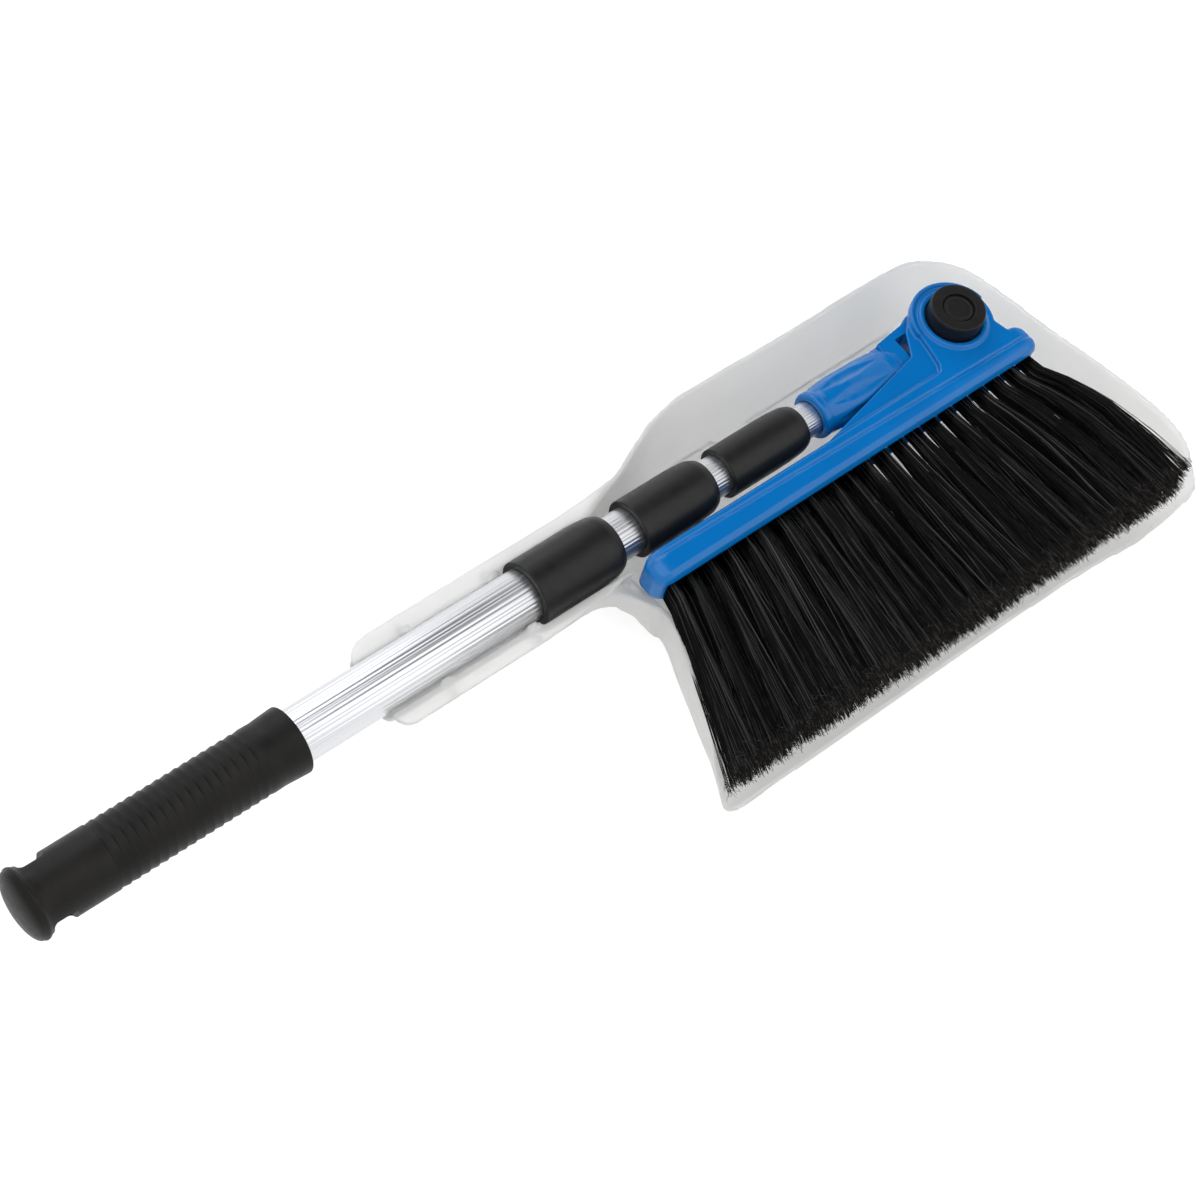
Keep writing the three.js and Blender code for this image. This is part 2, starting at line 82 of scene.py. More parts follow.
def on_handle(u, v, y):
    """A point from its offsets across and above the handle's axis."""
    return (u, y, HANDLE_Z + v)


def on_pivot(u, v, level):
    """A point from its offsets beside the fold's axis and its level."""
    return (u, PIVOT_Y + v, HANDLE_Z + level)


def make_object(name, points, faces):
    """A mesh object from millimetre points."""
    mesh = bpy.data.meshes.new(name)
    scaled = (np.asarray(points, float) * MM).tolist()
    mesh.from_pydata(scaled, [], faces)
    mesh.update()
    obj = bpy.data.objects.new(name, mesh)
    bpy.context.scene.collection.objects.link(obj)
    return obj


def rounded(points, radius, steps=4):
    """A polyline whose inner corners become short curves. A third number is the corner's own radius."""
    out = [tuple(points[0][:2])]
    for before, corner, after in zip(points, points[1:], points[2:]):
        here = Vector(corner[:2])
        reach = corner[2] if len(corner) > 2 else radius
        to_before = Vector(before[:2]) - here
        to_after = Vector(after[:2]) - here
        reach = min(reach, to_before.length * 0.45, to_after.length * 0.45)
        start = here + to_before.normalized() * reach
        end = here + to_after.normalized() * reach
        for k in range(steps + 1):
            t = k / steps
            out.append(tuple(start * (1 - t) ** 2 + here * 2 * t * (1 - t) + end * t**2))
    out.append(tuple(points[-1][:2]))
    return out


def band(ring_a, ring_b):
    """Faces between two rings of vertex numbers; a ring of one vertex is a pole."""
    if len(ring_a) == 1:
        n = len(ring_b)
        return [(ring_a[0], ring_b[(i + 1) % n], ring_b[i]) for i in range(n)]
    if len(ring_b) == 1:
        n = len(ring_a)
        return [(ring_a[i], ring_a[(i + 1) % n], ring_b[0]) for i in range(n)]
    n = len(ring_a)
    return [(ring_a[i], ring_a[(i + 1) % n], ring_b[(i + 1) % n], ring_b[i]) for i in range(n)]


def lathe(name, profile, place, segments=96, ring_shape=None):
    """Turns [radius, distance] pairs about an axis. A profile that ends off the axis closes itself."""
    points, rings = [], []
    for radius, distance in profile:
        start = len(points)
        if radius < 1e-6:
            points.append(place(0, 0, distance))
            rings.append([start])
            continue
        for i in range(segments):
            angle = 2 * math.pi * i / segments
            r = radius + (ring_shape(angle, radius) if ring_shape else 0)
            points.append(place(r * math.cos(angle), r * math.sin(angle), distance))
        rings.append(list(range(start, start + segments)))
    faces = []
    for a, b in zip(rings, rings[1:]):
        faces += band(a, b)
    if len(rings[0]) > 1:
        faces += band(rings[-1], rings[0])
    return outward(make_object(name, points, faces))


def drum(name, radius, low, high, segments=96):
    """A plain cylinder on the pivot between two levels, for cutting."""
    return lathe(name, [(0, low), (radius, low), (radius, high), (0, high)], on_pivot, segments)


def skin(name, rings):
    """A closed skin over rings of points that all have the same count."""
    count = len(rings[0])
    points = [p for ring in rings for p in ring]
    numbers = [list(range(k * count, (k + 1) * count)) for k in range(len(rings))]
    faces = []
    for a, b in zip(numbers, numbers[1:]):
        faces += band(a, b)
    for ring, numbered in ((rings[0], numbers[0]), (rings[-1], numbers[-1])):
        points.append(tuple(np.mean(np.asarray(ring, float), axis=0)))
        faces += band([len(points) - 1], numbered)
    return outward(make_object(name, points, faces))


def prism(name, outline, low, high):
    """A plan outline of [x, y] points raised between two heights above the floor."""
    count = len(outline)
    points = [(x, y, z) for z in (low, high) for x, y in outline]
    faces = [tuple(range(count)), tuple(range(count, 2 * count))]
    for i in range(count):
        j = (i + 1) % count
        faces.append((i, j, count + j, count + i))
    return outward(make_object(name, points, faces))


def cuboid(name, x, y, z):
    """A box from its ranges in x, y and z."""
    corners = [(x[0], y[0]), (x[1], y[0]), (x[1], y[1]), (x[0], y[1])]
    return prism(name, corners, *z)


def outward(obj):
    """Turns every face of a closed mesh outwards."""
    work = bmesh.new()
    work.from_mesh(obj.data)
    bmesh.ops.recalc_face_normals(work, faces=work.faces)
    work.to_mesh(obj.data)
    work.free()
    return obj


def arc(centre, radius, start, end, steps=10):
    """Points of an arc between two angles in degrees."""
    out = []
    for k in range(steps + 1):
        angle = math.radians(start + (end - start) * k / steps)
        out.append((centre[0] + radius * math.cos(angle), centre[1] + radius * math.sin(angle)))
    return out


def applied(obj):
    """Bakes an object's modifiers into its mesh."""
    graph = bpy.context.evaluated_depsgraph_get()
    mesh = bpy.data.meshes.new_from_object(obj.evaluated_get(graph))
    old = obj.data
    obj.modifiers.clear()
    obj.data = mesh
    bpy.data.meshes.remove(old)
    return obj


def combine(obj, other, operation):
    """Joins or cuts one closed mesh with another, which is used up."""
    step = obj.modifiers.new("solid", "BOOLEAN")
    step.operation = operation
    step.solver = "EXACT"
    step.object = other
    applied(obj)
    bpy.data.objects.remove(other)
    return obj


def join(obj, *others):
    """Adds closed meshes to the first one."""
    for other in others:
        combine(obj, other, "UNION")
    return obj


def cut(obj, *others):
    """Takes closed meshes away from the first one."""
    for other in others:
        combine(obj, other, "DIFFERENCE")
    return obj


def gathered(obj, *others):
    """Puts the meshes of several objects into the first one as they are."""
    everything = [obj, *others]
    with bpy.context.temp_override(active_object=obj, object=obj, selected_editable_objects=everything):
        bpy.ops.object.join()
    return obj


def moulded(obj, voxel, passes):
    """Gives a sharp solid the small even fillets of a moulding."""
    remesh = obj.modifiers.new("remesh", "REMESH")
    remesh.mode = "VOXEL"
    remesh.voxel_size = voxel * MM
    smooth = obj.modifiers.new("smooth", "SMOOTH")
    smooth.factor = 0.5
    smooth.iterations = passes
    return applied(obj)


def finish_piece(obj, body, slot, material, *nodes, sharp=40):
    """Shades a piece, gives it its material, hangs it on its body and hides the CAD nodes it stands for.
    """
    obj.data.shade_smooth()
    if sharp:
        obj.data.set_sharp_from_angle(angle=math.radians(sharp))
    obj.data.materials.clear()
    obj.data.materials.append(material)
    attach(obj, body)
    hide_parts(*nodes)
    return obj


# ---- Materials -------------------------------------------------------


class Nodes:
    """Short calls for building one material's node tree."""

    def __init__(self, name):
        self.material = bpy.data.materials.new(name)
        self.material.use_nodes = True
        self.tree = self.material.node_tree
        self.shader = self.tree.nodes["Principled BSDF"]
        self.coords = self.tree.nodes.new("ShaderNodeTexCoord")

    def set(self, **values):
        for key, value in values.items():
            self.shader.inputs[key.replace("_", " ")].default_value = value

    def link(self, source, target):
        self.tree.links.new(source, target)

    def to_shader(self, source, socket):
        self.link(source, self.shader.inputs[socket])

    def stretched(self, scale):
        mapping = self.tree.nodes.new("ShaderNodeMapping")
        mapping.inputs["Scale"].default_value = scale
        self.link(self.coords.outputs["Object"], mapping.inputs["Vector"])
        return mapping.outputs["Vector"]

    def noise(self, scale, detail=3.0, rough=0.5, stretch=(1, 1, 1)):
        node = self.tree.nodes.new("ShaderNodeTexNoise")
        node.inputs["Scale"].default_value = scale
        node.inputs["Detail"].default_value = detail
        node.inputs["Roughness"].default_value = rough
        self.link(self.stretched(stretch), node.inputs["Vector"])
        return node.outputs["Fac"]

    def ramp(self, source, stops):
        node = self.tree.nodes.new("ShaderNodeValToRGB")
        elements = node.color_ramp.elements
        while len(elements) < len(stops):
            elements.new(0.5)
        for element, (place, colour) in zip(elements, stops):
            element.position = place
            element.color = (*colour, 1)
        self.link(source, node.inputs["Fac"])
        return node.outputs["Color"]

    def spread(self, source, low, high, from_low=0.0, from_high=1.0):
        node = self.tree.nodes.new("ShaderNodeMapRange")
        node.inputs["From Min"].default_value = from_low
        node.inputs["From Max"].default_value = from_high
        node.inputs["To Min"].default_value = low
        node.inputs["To Max"].default_value = high
        self.link(source, node.inputs["Value"])
        return node.outputs["Result"]

    def bump(self, source, strength, distance, before=None):
        node = self.tree.nodes.new("ShaderNodeBump")
        node.inputs["Strength"].default_value = strength
        node.inputs["Distance"].default_value = distance
        self.link(source, node.inputs["Height"])
        if before is not None:
            self.link(before, node.inputs["Normal"])
        return node.outputs["Normal"]

    def mix(self, fac, a, b):
        node = self.tree.nodes.new("ShaderNodeMix")
        node.data_type = "RGBA"
        self.link(fac, node.inputs["Factor"])
        self.link(a, node.inputs[6])
        self.link(b, node.inputs[7])
        return node.outputs[2]

    def object_axis(self, axis):
        node = self.tree.nodes.new("ShaderNodeSeparateXYZ")
        self.link(self.coords.outputs["Object"], node.inputs["Vector"])
        return node.outputs[axis]


def frosted_plastic():
    """Translucent polypropylene: milky, soft sheen, faint flow marks."""
    n = Nodes("frosted_polypropylene")
    flow = n.noise(14, detail=4, stretch=(1, 0.5, 1))
    n.to_shader(n.ramp(flow, [(0.3, (0.85, 0.85, 0.835)), (0.7, (0.88, 0.88, 0.865))]), "Base Color")
    grain = n.noise(900, detail=2)
    scuffs = n.noise(160, detail=6, rough=0.7, stretch=(1, 0.15, 1))
    n.to_shader(n.spread(scuffs, 0.32, 0.52, 0.3, 0.7), "Roughness")
    fine = n.bump(grain, 0.12, 0.0002)
    n.to_shader(n.bump(scuffs, 0.05, 0.0002, fine), "Normal")
    n.set(IOR=1.49, Transmission_Weight=0.55, Subsurface_Weight=0.6, Subsurface_Scale=0.005)
    n.set(Subsurface_Radius=(1, 1, 1), Specular_IOR_Level=0.4)
    return n.material


def black_plastic(name, colour, lit, rough, gloss=0.24):
    """Satin black moulding with a fine spark texture and light handling marks."""
    n = Nodes(name)
    cloud = n.noise(35, detail=5)
    n.to_shader(n.ramp(cloud, [(0.3, colour), (0.75, lit)]), "Base Color")
    marks = n.noise(220, detail=7, rough=0.65)
    n.to_shader(n.spread(marks, rough - 0.05, rough + 0.1, 0.3, 0.7), "Roughness")
    grain = n.noise(2600, detail=2)
    fine = n.bump(grain, 0.18, 0.00015)
    n.to_shader(n.bump(marks, 0.05, 0.0002, fine), "Normal")
    n.set(IOR=1.5, Specular_IOR_Level=gloss)
    return n.material


def fluted_aluminium():
    """Bright drawn aluminium with lines along the tube."""
    n = Nodes("fluted_aluminium")
    lines = n.noise(700, detail=3, stretch=(1, 0.002, 1))
    n.to_shader(n.ramp(lines, [(0.3, (0.63, 0.64, 0.665)), (0.7, (0.73, 0.735, 0.745))]), "Base Color")
    n.to_shader(n.spread(lines, 0.28, 0.36, 0.3, 0.7), "Roughness")
    n.set(Metallic=1.0)
    return n.material


def blue_plastic():
    """Gloss moulded blue with very faint ripple and fine scratches."""
    n = Nodes("gloss_blue_plastic")
    cloud = n.noise(22, detail=3)
    n.to_shader(n.ramp(cloud, [(0.3, (0.0006, 0.121, 0.38)), (0.7, (0.0008, 0.138, 0.43))]), "Base Color")
    scratches = n.noise(300, detail=6, rough=0.7, stretch=(1, 0.1, 1))
    n.to_shader(n.spread(scratches, 0.13, 0.24, 0.3, 0.75), "Roughness")
    ripple = n.noise(60, detail=2)
    n.to_shader(n.bump(ripple, 0.05, 0.0004), "Normal")
    n.set(IOR=1.5, Specular_IOR_Level=0.32)
    return n.material


# Metres along X over which the filaments' tips turn brown.
BROWN_FROM_TO = (0.129, 0.138)


def bristle_fibre():
    """Black filaments, some of them lighter with painted glints, whose split tips turn brown and dull."""
    n = Nodes("bristle_fibre")
    tipness = n.spread(n.object_axis("X"), 0.0, 1.0, *BROWN_FROM_TO)
    filament = n.tree.nodes.new("ShaderNodeNewGeometry").outputs["Random Per Island"]
    # The lighter stops of this ramp, above 0.68, are painted glints on those filaments. The darker
    # filaments keep the fibre's own black.
    black = n.ramp(filament, [(0.0, (0.0004, 0.0004, 0.0004)), (0.68, (0.001, 0.001, 0.001)),
                              (0.8, (0.022, 0.022, 0.0215)), (1.0, (0.085, 0.084, 0.081))])
    brown = n.ramp(filament, [(0.0, (0.001, 0.0009, 0.0008)), (0.6, (0.006, 0.0053, 0.0048)),
                              (1.0, (0.07, 0.061, 0.054))])
    n.to_shader(n.mix(tipness, black, brown), "Base Color")
    n.to_shader(n.spread(tipness, 0.3, 0.8), "Roughness")
    n.to_shader(n.bump(n.noise(1200, detail=2), 0.1, 0.0001), "Normal")
    n.set(Specular_IOR_Level=0.16)
    return n.material


def plain_moulding(name, colour):
    """Dull uncoloured moulding with a slight cloud."""
    n = Nodes(name)
    cloud = n.noise(40, detail=4)
    darker = tuple(0.85 * c for c in colour)
    n.to_shader(n.ramp(cloud, [(0.3, darker), (0.7, colour)]), "Base Color")
    n.to_shader(n.spread(n.noise(300), 0.4, 0.55), "Roughness")
    n.to_shader(n.bump(n.noise(1500), 0.1, 0.0002), "Normal")
    return n.material


def plated_steel():
    """Zinc-plated steel, brushed along Z."""
    n = Nodes("plated_steel")
    brushed = n.noise(500, detail=4, stretch=(1, 1, 0.1))
    n.to_shader(n.ramp(brushed, [(0.3, (0.5, 0.5, 0.5)), (0.7, (0.7, 0.7, 0.71))]), "Base Color")
    n.to_shader(n.spread(brushed, 0.25, 0.4), "Roughness")
    n.set(Metallic=1.0)
    return n.material


FROSTED = frosted_plastic()
BLACK = black_plastic("satin_black_plastic", (0.006, 0.006, 0.006), (0.010, 0.010, 0.0095), 0.36)
GRIP_BLACK = black_plastic("grip_black_plastic", (0.005, 0.0046, 0.0040), (0.010, 0.0090, 0.0078),
                           0.4, 0.17)
BUTTON_BLACK = black_plastic("button_black_plastic", (0.004, 0.004, 0.004), (0.008, 0.008, 0.008), 0.42)
ALUMINIUM = fluted_aluminium()
BLUE = blue_plastic()
FIBRE = bristle_fibre()
ACETAL = plain_moulding("white_acetal", (0.72, 0.71, 0.67))
STEEL = plated_steel()


# ---- Dust pan --------------------------------------------------------

DECK_HALF = 25.6
DECK_NEAR = 197.5
DECK_FAR = 369
DECK_TOP = 46.3
DECK_THICK = 3.4
TROUGH_STEP = 288
WALL = 2.2
RIM_WALL = 2.9
FLOOR = 2.3
TUBE_TROUGH = 15.8
COLLAR_TROUGH = 18.4
OPEN_TOP = 90
SHELL_FAR = 352
DECK_CORNER = 8.5
WEB_INNER = 17
NUB_STATIONS = (230, 283)
NUB_X = (14.6, 17.8)
NUB_HALF = 2.6
NUB_RISE = 1.4
PAD_RISE = 1.2
PAN_VOXEL = 0.85
PAD_X = (-34, -24)
PAD_STATIONS = ((413, 455), (479, 588))

# Rim of the pan, anticlockwise: x, station, height, and how far in the floor's edge lies.
PAN_RIM = [
    (139.3, 338, 2.6, 3), (139.5, 380, 2.3, 3), (139.5, 423, 2.2, 3), (139.7, 500, 2.2, 3),
    (140.5, 555, 2.2, 3), (142.5, 591, 2.5, 3), (144, 612, 2.8, 3), (143, 638, 3, 3),
    (141, 656.5, 3.6, 4), (137.5, 665, 4.6, 4), (129, 671, 6.2, 5), (117, 678, 8.4, 6),
    (103, 680, 10.5, 8), (85, 676.5, 14, 9), (52, 665, 20, 10), (21.5, 653.5, 24.5, 11),
    (-11.5, 645.5, 26.3, 12), (-30, 638, 28.6, 12), (-39, 627, 33.5, 12), (-44.5, 615, 38, 12),
    (-49, 604, 40, 13), (-51, 591, 40.5, 14), (-51.3, 560, 40.5, 15), (-51, 523, 40.5, 15),
    (-50.7, 503, 40.5, 15), (-51, 470, 41, 15), (-51, 447, 41.5, 15), (-50, 431, 42, 14),
    (-45.5, 411, 43.4, 12), (-41.5, 401, 44, 10), (-36.5, 389, 45, 9), (-30, 375, 46, 8),
    (-26, 361, 46.3, 7), (-20, 348, 46.3, 6), (-8, 341, 46.3, 6), (10, 338, 46.3, 7),
    (20, 341, 42, 5), (26, 346, 34, 3.5), (34, 349, 31, 3), (42, 349.5, 32, 3),
    (50, 347.5, 35, 3), (62, 342.5, 39, 3), (73, 338.3, 40, 3), (84, 334.4, 38.5, 3),
    (93, 331, 35.3, 3), (102, 328, 30.5, 3), (110, 325.5, 25, 3), (117, 322.8, 18.5, 3),
    (124.5, 320, 12.5, 3), (130.5, 317.7, 9, 3), (135, 317.2, 6.5, 2.5), (138, 320.5, 4.5, 2.5),
    (139.2, 327, 3.2, 2.5),
]
RIM_STEPS = 6
FLOOR_RUN = 0.6
BASIN_Z = (6, 120)


def spline(four, t):
    """A smooth curve through the middle two of four points (uniform Catmull-Rom)."""
    a, b, c, d = four
    linear = (c - a) * t
    square = (2 * a - 5 * b + 4 * c - d) * t**2
    cube = (3 * b - a - 3 * c + d) * t**3
    return 0.5 * (2 * b + linear + square + cube)


def closed_curve(points, steps):
    """A smooth closed curve through all the points."""
    points = np.asarray(points, float)
    count = len(points)
    out = []
    for i in range(count):
        four = [points[(i + k) % count] for k in (-1, 0, 1, 2)]
        out += [spline(four, k / steps) for k in range(steps)]
    return np.array(out)


def inward_normals(curve):
    """Unit normals of a closed anticlockwise plan curve, pointing inside, evened out a little."""
    ahead = np.roll(curve[:, :2], -2, axis=0)
    behind = np.roll(curve[:, :2], 2, axis=0)
    tangent = ahead - behind
    normal = np.stack([-tangent[:, 1], tangent[:, 0]], axis=-1)
    normal /= np.linalg.norm(normal, axis=1, keepdims=True)
    for _ in range(6):
        normal = (np.roll(normal, 1, axis=0) + 2 * normal + np.roll(normal, -1, axis=0)) / 4
        normal /= np.linalg.norm(normal, axis=1, keepdims=True)
    return normal


def wall_profile(high, inset, steps=10):
    """The wall's outer line as [depth, height] from the floor's edge to the rim, and its inner line."""
    t = np.linspace(0, 1, steps)[:, None]
    ends = np.array([[inset * (1 + FLOOR_RUN) + 2, 0], [inset * 0.9, 0], [0, high]])
    outer = ends[0] * (1 - t) ** 2 + ends[1] * 2 * t * (1 - t) + ends[2] * t**2
    slope = 2 * (ends[1] - ends[0]) * (1 - t) + 2 * (ends[2] - ends[1]) * t
    slope /= np.linalg.norm(slope, axis=1, keepdims=True)
    across = np.stack([slope[:, 1], -slope[:, 0]], axis=-1)
    thick = FLOOR + (RIM_WALL - FLOOR) * t
    inner = outer + across * thick
    inner[-1, 1] = high
    return outer, inner


def wall_lines():
    """All points of the pan's outer and inner skins, as lists of rings from the floor to the rim."""
    curve = closed_curve(PAN_RIM, RIM_STEPS)
    normals = inward_normals(curve)
    outer, inner = [], []
    for (x, station, high, inset), normal in zip(curve, normals):
        for line, out in zip(wall_profile(high, inset), (outer, inner)):
            out.append([(x + normal[0] * d, along(station + normal[1] * d), z) for d, z in line])
    return [list(zip(*lines)) for lines in (outer, inner)]


def tub():
    """Floor and walls as one shell: up the outside, over the rim, and down the inside."""
    outer, inner = wall_lines()
    return skin("tub", [*outer, *reversed(inner)])


def basin():
    """The room inside the rim, from the floor upwards."""
    curve = closed_curve(PAN_RIM, RIM_STEPS)
    inside = curve[:, :2] + inward_normals(curve) * RIM_WALL
    return prism("basin", [(x, along(station)) for x, station in inside[::2]], *BASIN_Z)


def channel(radius, near, far):
    """A U-shaped channel, round below and open above, along the handle."""
    round_part = [(x, HANDLE_Z + z) for x, z in arc((0, 0), radius, 0, -180, 40)]
    section = [(radius, OPEN_TOP), *round_part, (-radius, OPEN_TOP)]
    rings = [[(x, along(s), z) for x, z in section] for s in (near, far)]
    return skin("channel", rings)


def collar_channel():
    """The wider channel that the first collar lies in."""
    return channel(COLLAR_TROUGH, TROUGH_STEP - 0.3, SHELL_FAR + 4)


def trough_shell(radius, near, far):
    """The wall below the channel, up to the deck."""
    section = [(x, HANDLE_Z + z) for x, z in arc((0, 0), radius, 0, -180, 40)]
    return skin("shell", [[(x, along(s), z) for x, z in section] for s in (near, far)])


def deck_plan():
    """The handle's top plate, which widens into the pan on both sides."""
    half = DECK_HALF
    corner = DECK_CORNER
    near_end = ((-22.8, 203), (-19.5, 200), (-15, 198.6), (-8, DECK_NEAR), (8, DECK_NEAR))
    right_edge = (
        (half, 285), (25.2, 300), (24.2, 311), (23.6, 320), (22.8, 328), (21.4, 335), (19.5, 341),
        (17.5, 346), (17, 352),
    )
    left_edge = (
        (-22, 352), (-25, 368), (-28.5, DECK_FAR), (-26.8, 350), (-26, 330), (-26, 232), (-25.8, 214),
        (-25, 207),
    )
    return [
        *[(x, along(s)) for x, s in near_end],
        *arc((half - corner, along(DECK_NEAR + corner)), corner, -90, 0),
        *[(x, along(s)) for x, s in (*right_edge, *left_edge)],
    ]


# The web from the deck's right edge into the near wall: station, edge x, lower and upper level.
GUSSET = [
    (296, 25.3, 43, 46), (304, 25.0, 42, 46), (312, 24.2, 40, 46), (320, 23.8, 36.5, 45.8),
    (327, 24.2, 33, 44.8), (334, 25.8, 28.5, 42), (340, 28.6, 22, 37.5), (345, 33.0, 14.5, 33.5),
    (349, 38, 7.5, 31.5), (352, 40, 3, 31), (354, 41, 0, 31),
]


def gusset():
    """A solid under the deck's right edge, whose outer face is the web."""
    rings = []
    for station, edge, low, high in GUSSET:
        y = along(station)
        rings.append([(WEB_INNER, y, high), (edge, y, high), (edge - 0.3, y, low), (WEB_INNER, y, low)])
    return skin("gusset", rings)


def snap_nub(side, station):
    """A low rounded catch that reaches over the trough's edge to the tube."""
    x = sorted((side * NUB_X[0], side * NUB_X[1]))
    y = (along(station - NUB_HALF), along(station + NUB_HALF))
    return cuboid("nub", x, y, (DECK_TOP - 2.5, DECK_TOP + NUB_RISE))


def deck_rib(side, station):
    """A thin rib between the trough and the deck, under a nub."""
    x = sorted((side * 16, side * (DECK_HALF - 3)))
    y = (along(station - 1), along(station + 1))
    return cuboid("rib", x, y, (HANDLE_Z - 12, DECK_TOP - 1))


def floor_pad(near, far):
    """A raised panel of the pan's floor."""
    return cuboid("pad", PAD_X, (along(near), along(far)), (0.5, FLOOR + PAD_RISE))


def trough_deck():
    """The handle: top plate, both troughs, ribs and web, with the room for the brush cut out."""
    deck = prism("deck", deck_plan(), DECK_TOP - DECK_THICK, DECK_TOP)
    join(deck, trough_shell(TUBE_TROUGH + WALL, DECK_NEAR, TROUGH_STEP))
    join(deck, trough_shell(COLLAR_TROUGH + WALL, TROUGH_STEP - WALL, SHELL_FAR))
    for station in NUB_STATIONS:
        for side in (-1, 1):
            join(deck, deck_rib(side, station))
    join(deck, gusset())
    cut(deck, basin())
    cut(deck, channel(TUBE_TROUGH, DECK_NEAR - 5, TROUGH_STEP))
    return cut(deck, collar_channel())


def dustpan():
    """Pan, trough and nubs as one moulding. The remesh melts the overlapping parts together."""
    deck = trough_deck()
    walls = cut(tub(), collar_channel())
    nubs = [snap_nub(side, station) for station in NUB_STATIONS for side in (-1, 1)]
    pads = [floor_pad(near, far) for near, far in PAD_STATIONS]
    pan = gathered(deck, walls, *nubs, *pads)
    pan.name = "frosted_dust_pan"
    moulded(pan, PAN_VOXEL, 6)
    return finish_piece(pan, "dustpan", "frosted_plastic", FROSTED, "dustpan", sharp=0)


# ---- Grip ------------------------------------------------------------

RING_COUNT = 17
RING_FIRST = 46
RING_PITCH = 5.0
GRIP_BODY = 16.9
GRIP_FRONT = box_mm("grip")[1].y
TUBE_1_REAR = box_mm("tube_1")[0].y
SLOT_HALF = 9
SLOT_TURN = math.radians(-19)
SLOT_STATIONS = (10.2, 23.2)
SLOT_CORNER = 2.2


def grip_profile():
    """From the dome's tip, over the flange, the slotted neck and the rings, to the open front."""
    body = GRIP_BODY
    dome = [(17.9 * math.sin(a), 5.4 * (1 - math.cos(a))) for a in np.linspace(0, math.pi / 2, 14)]
    flange = rounded([dome[-1], (18.6, 6.2), (18.6, 7.6), (17.4, 9.4), (body, 12.5), (body, 30)], 1.4)
    rings = []
    for i in range(RING_COUNT):
        start = RING_FIRST + i * RING_PITCH
        rings += [(body + 0.05, start - 0.4), (body, start), (body - 0.5, start + 0.35),
                  (body - 0.55, start + 1.0), (body - 0.3, start + 2.6), (body - 0.05, start + 4.2)]
    end = RING_FIRST + RING_COUNT * RING_PITCH
    front = GRIP_FRONT - GRIP_Y
    seat = TUBE_1_REAR - GRIP_Y - 0.3
    nose = rounded([(body, end + 0.5), (16.75, end + 6), (17.3, front - 6), (17.6, front - 1.5),
                    (17.6, front), (14.3, front), (14.3, seat)], 1.0)
    outline = [*dome[:-1], *flange, *rings, *nose, (0, seat)]
    return [(r, along(s)) for r, s in outline]


def slot_outline():
    """Rounded rectangle of the hang slot, as [y, height] about the handle's axis."""
    near, far = along(SLOT_STATIONS[0]) + SLOT_CORNER, along(SLOT_STATIONS[1]) - SLOT_CORNER
    high = SLOT_HALF - SLOT_CORNER
    outline = []
    for y, z, start in ((far, high, 0), (near, high, 90), (near, -high, 180), (far, -high, 270)):
        outline += arc((y, z), SLOT_CORNER, start, start + 90, 8)
    return outline


def grip():
    """The lathe-turned grip with its hang slot cut through."""
    body = lathe("ringed_grip", grip_profile(), on_handle, 128)
    cos, sin = math.cos(SLOT_TURN), math.sin(SLOT_TURN)
    rings = []
    for x in (-30, 30):
        rings.append([on_handle(x * cos - z * sin, x * sin + z * cos, y) for y, z in slot_outline()])
    cut(body, skin("slot", rings))
    return finish_piece(body, "tube_1", "black_plastic", GRIP_BLACK, "grip", sharp=30)


# ---- Tubes and collars -----------------------------------------------

FLUTES = 34
FLUTE_DEPTH = 0.18
COLLAR_NOSE = 14


def flute(angle):
    """Depth of the narrow grooves that run along a tube."""
    wave = 0.5 + 0.5 * math.cos(FLUTES * angle)
    return -FLUTE_DEPTH * max(0.0, (wave - 0.35) / 0.65)


def tube(number, body):
    """One thin tube with the size of its CAD node, fluted on the outside only."""
    low, high = box_mm(f"tube_{number}")
    outer = (high.x - low.x) / 2
    bore = outer - 1.0

    def shape(angle, radius):
        return flute(angle) if radius > outer - 0.3 else 0.0

    profile = [(bore, low.y), (outer - 0.25, low.y), (outer, low.y + 0.4), (outer, high.y - 0.4),
               (outer - 0.25, high.y), (bore, high.y)]
    piece = lathe(f"fluted_tube_{number}", profile, on_handle, FLUTES * 12, shape)
    return finish_piece(piece, body, "fluted_aluminium", ALUMINIUM, f"tube_{number}", sharp=50)


def collar(number, body):
    """One collar with the size of its CAD node, which narrows to a nose round the next tube."""
    low, high = box_mm(f"twist_collar_{number}")
    outer = (high.x - low.x) / 2
    behind, ahead = box_mm(f"tube_{number}"), box_mm(f"tube_{number + 1}")
    bore = (behind[1].x - behind[0].x) / 2 - 0.1
    nose = (ahead[1].x - ahead[0].x) / 2 + 0.4
    taper = high.y - COLLAR_NOSE
    profile = rounded([
        (bore, low.y + 3), (bore, low.y), (outer - 0.1, low.y, 0.5), (outer, low.y + 1.2),
        (outer, taper, 6), (nose + 0.8 * (outer - nose), high.y - 4, 5), (nose + 1.7, high.y, 1.2),
        (nose, high.y, 0.4), (nose, high.y - 3), (bore, taper), (bore, low.y + 4)], 0.6, steps=6)
    piece = lathe(f"lock_collar_{number}", profile, on_handle, 112)
    return finish_piece(piece, body, "black_plastic", BLACK, f"twist_collar_{number}", sharp=35)


# ---- Neck ------------------------------------------------------------

ARM_HALF = 7.2
EYE_RADIUS = 19
NECK_REAR = box_mm("neck")[0].y
ARM_START = 57
ARM_HALF_WIDTH = 12.3
EYE_FLARE = math.degrees(0.5)
HUB_RADIUS = 10
NECK_SIDES = 144
PANELS = 8
PANEL_DEPTH = 1.4
PANEL_START = 8
PANEL_LENGTH = 43
SOCKET_RADIUS = 9.8
SOCKET_DEPTH = 32.6
WINDOW_X = (-9.5, 3)
WINDOW_STATIONS = (550.5, 558.5)

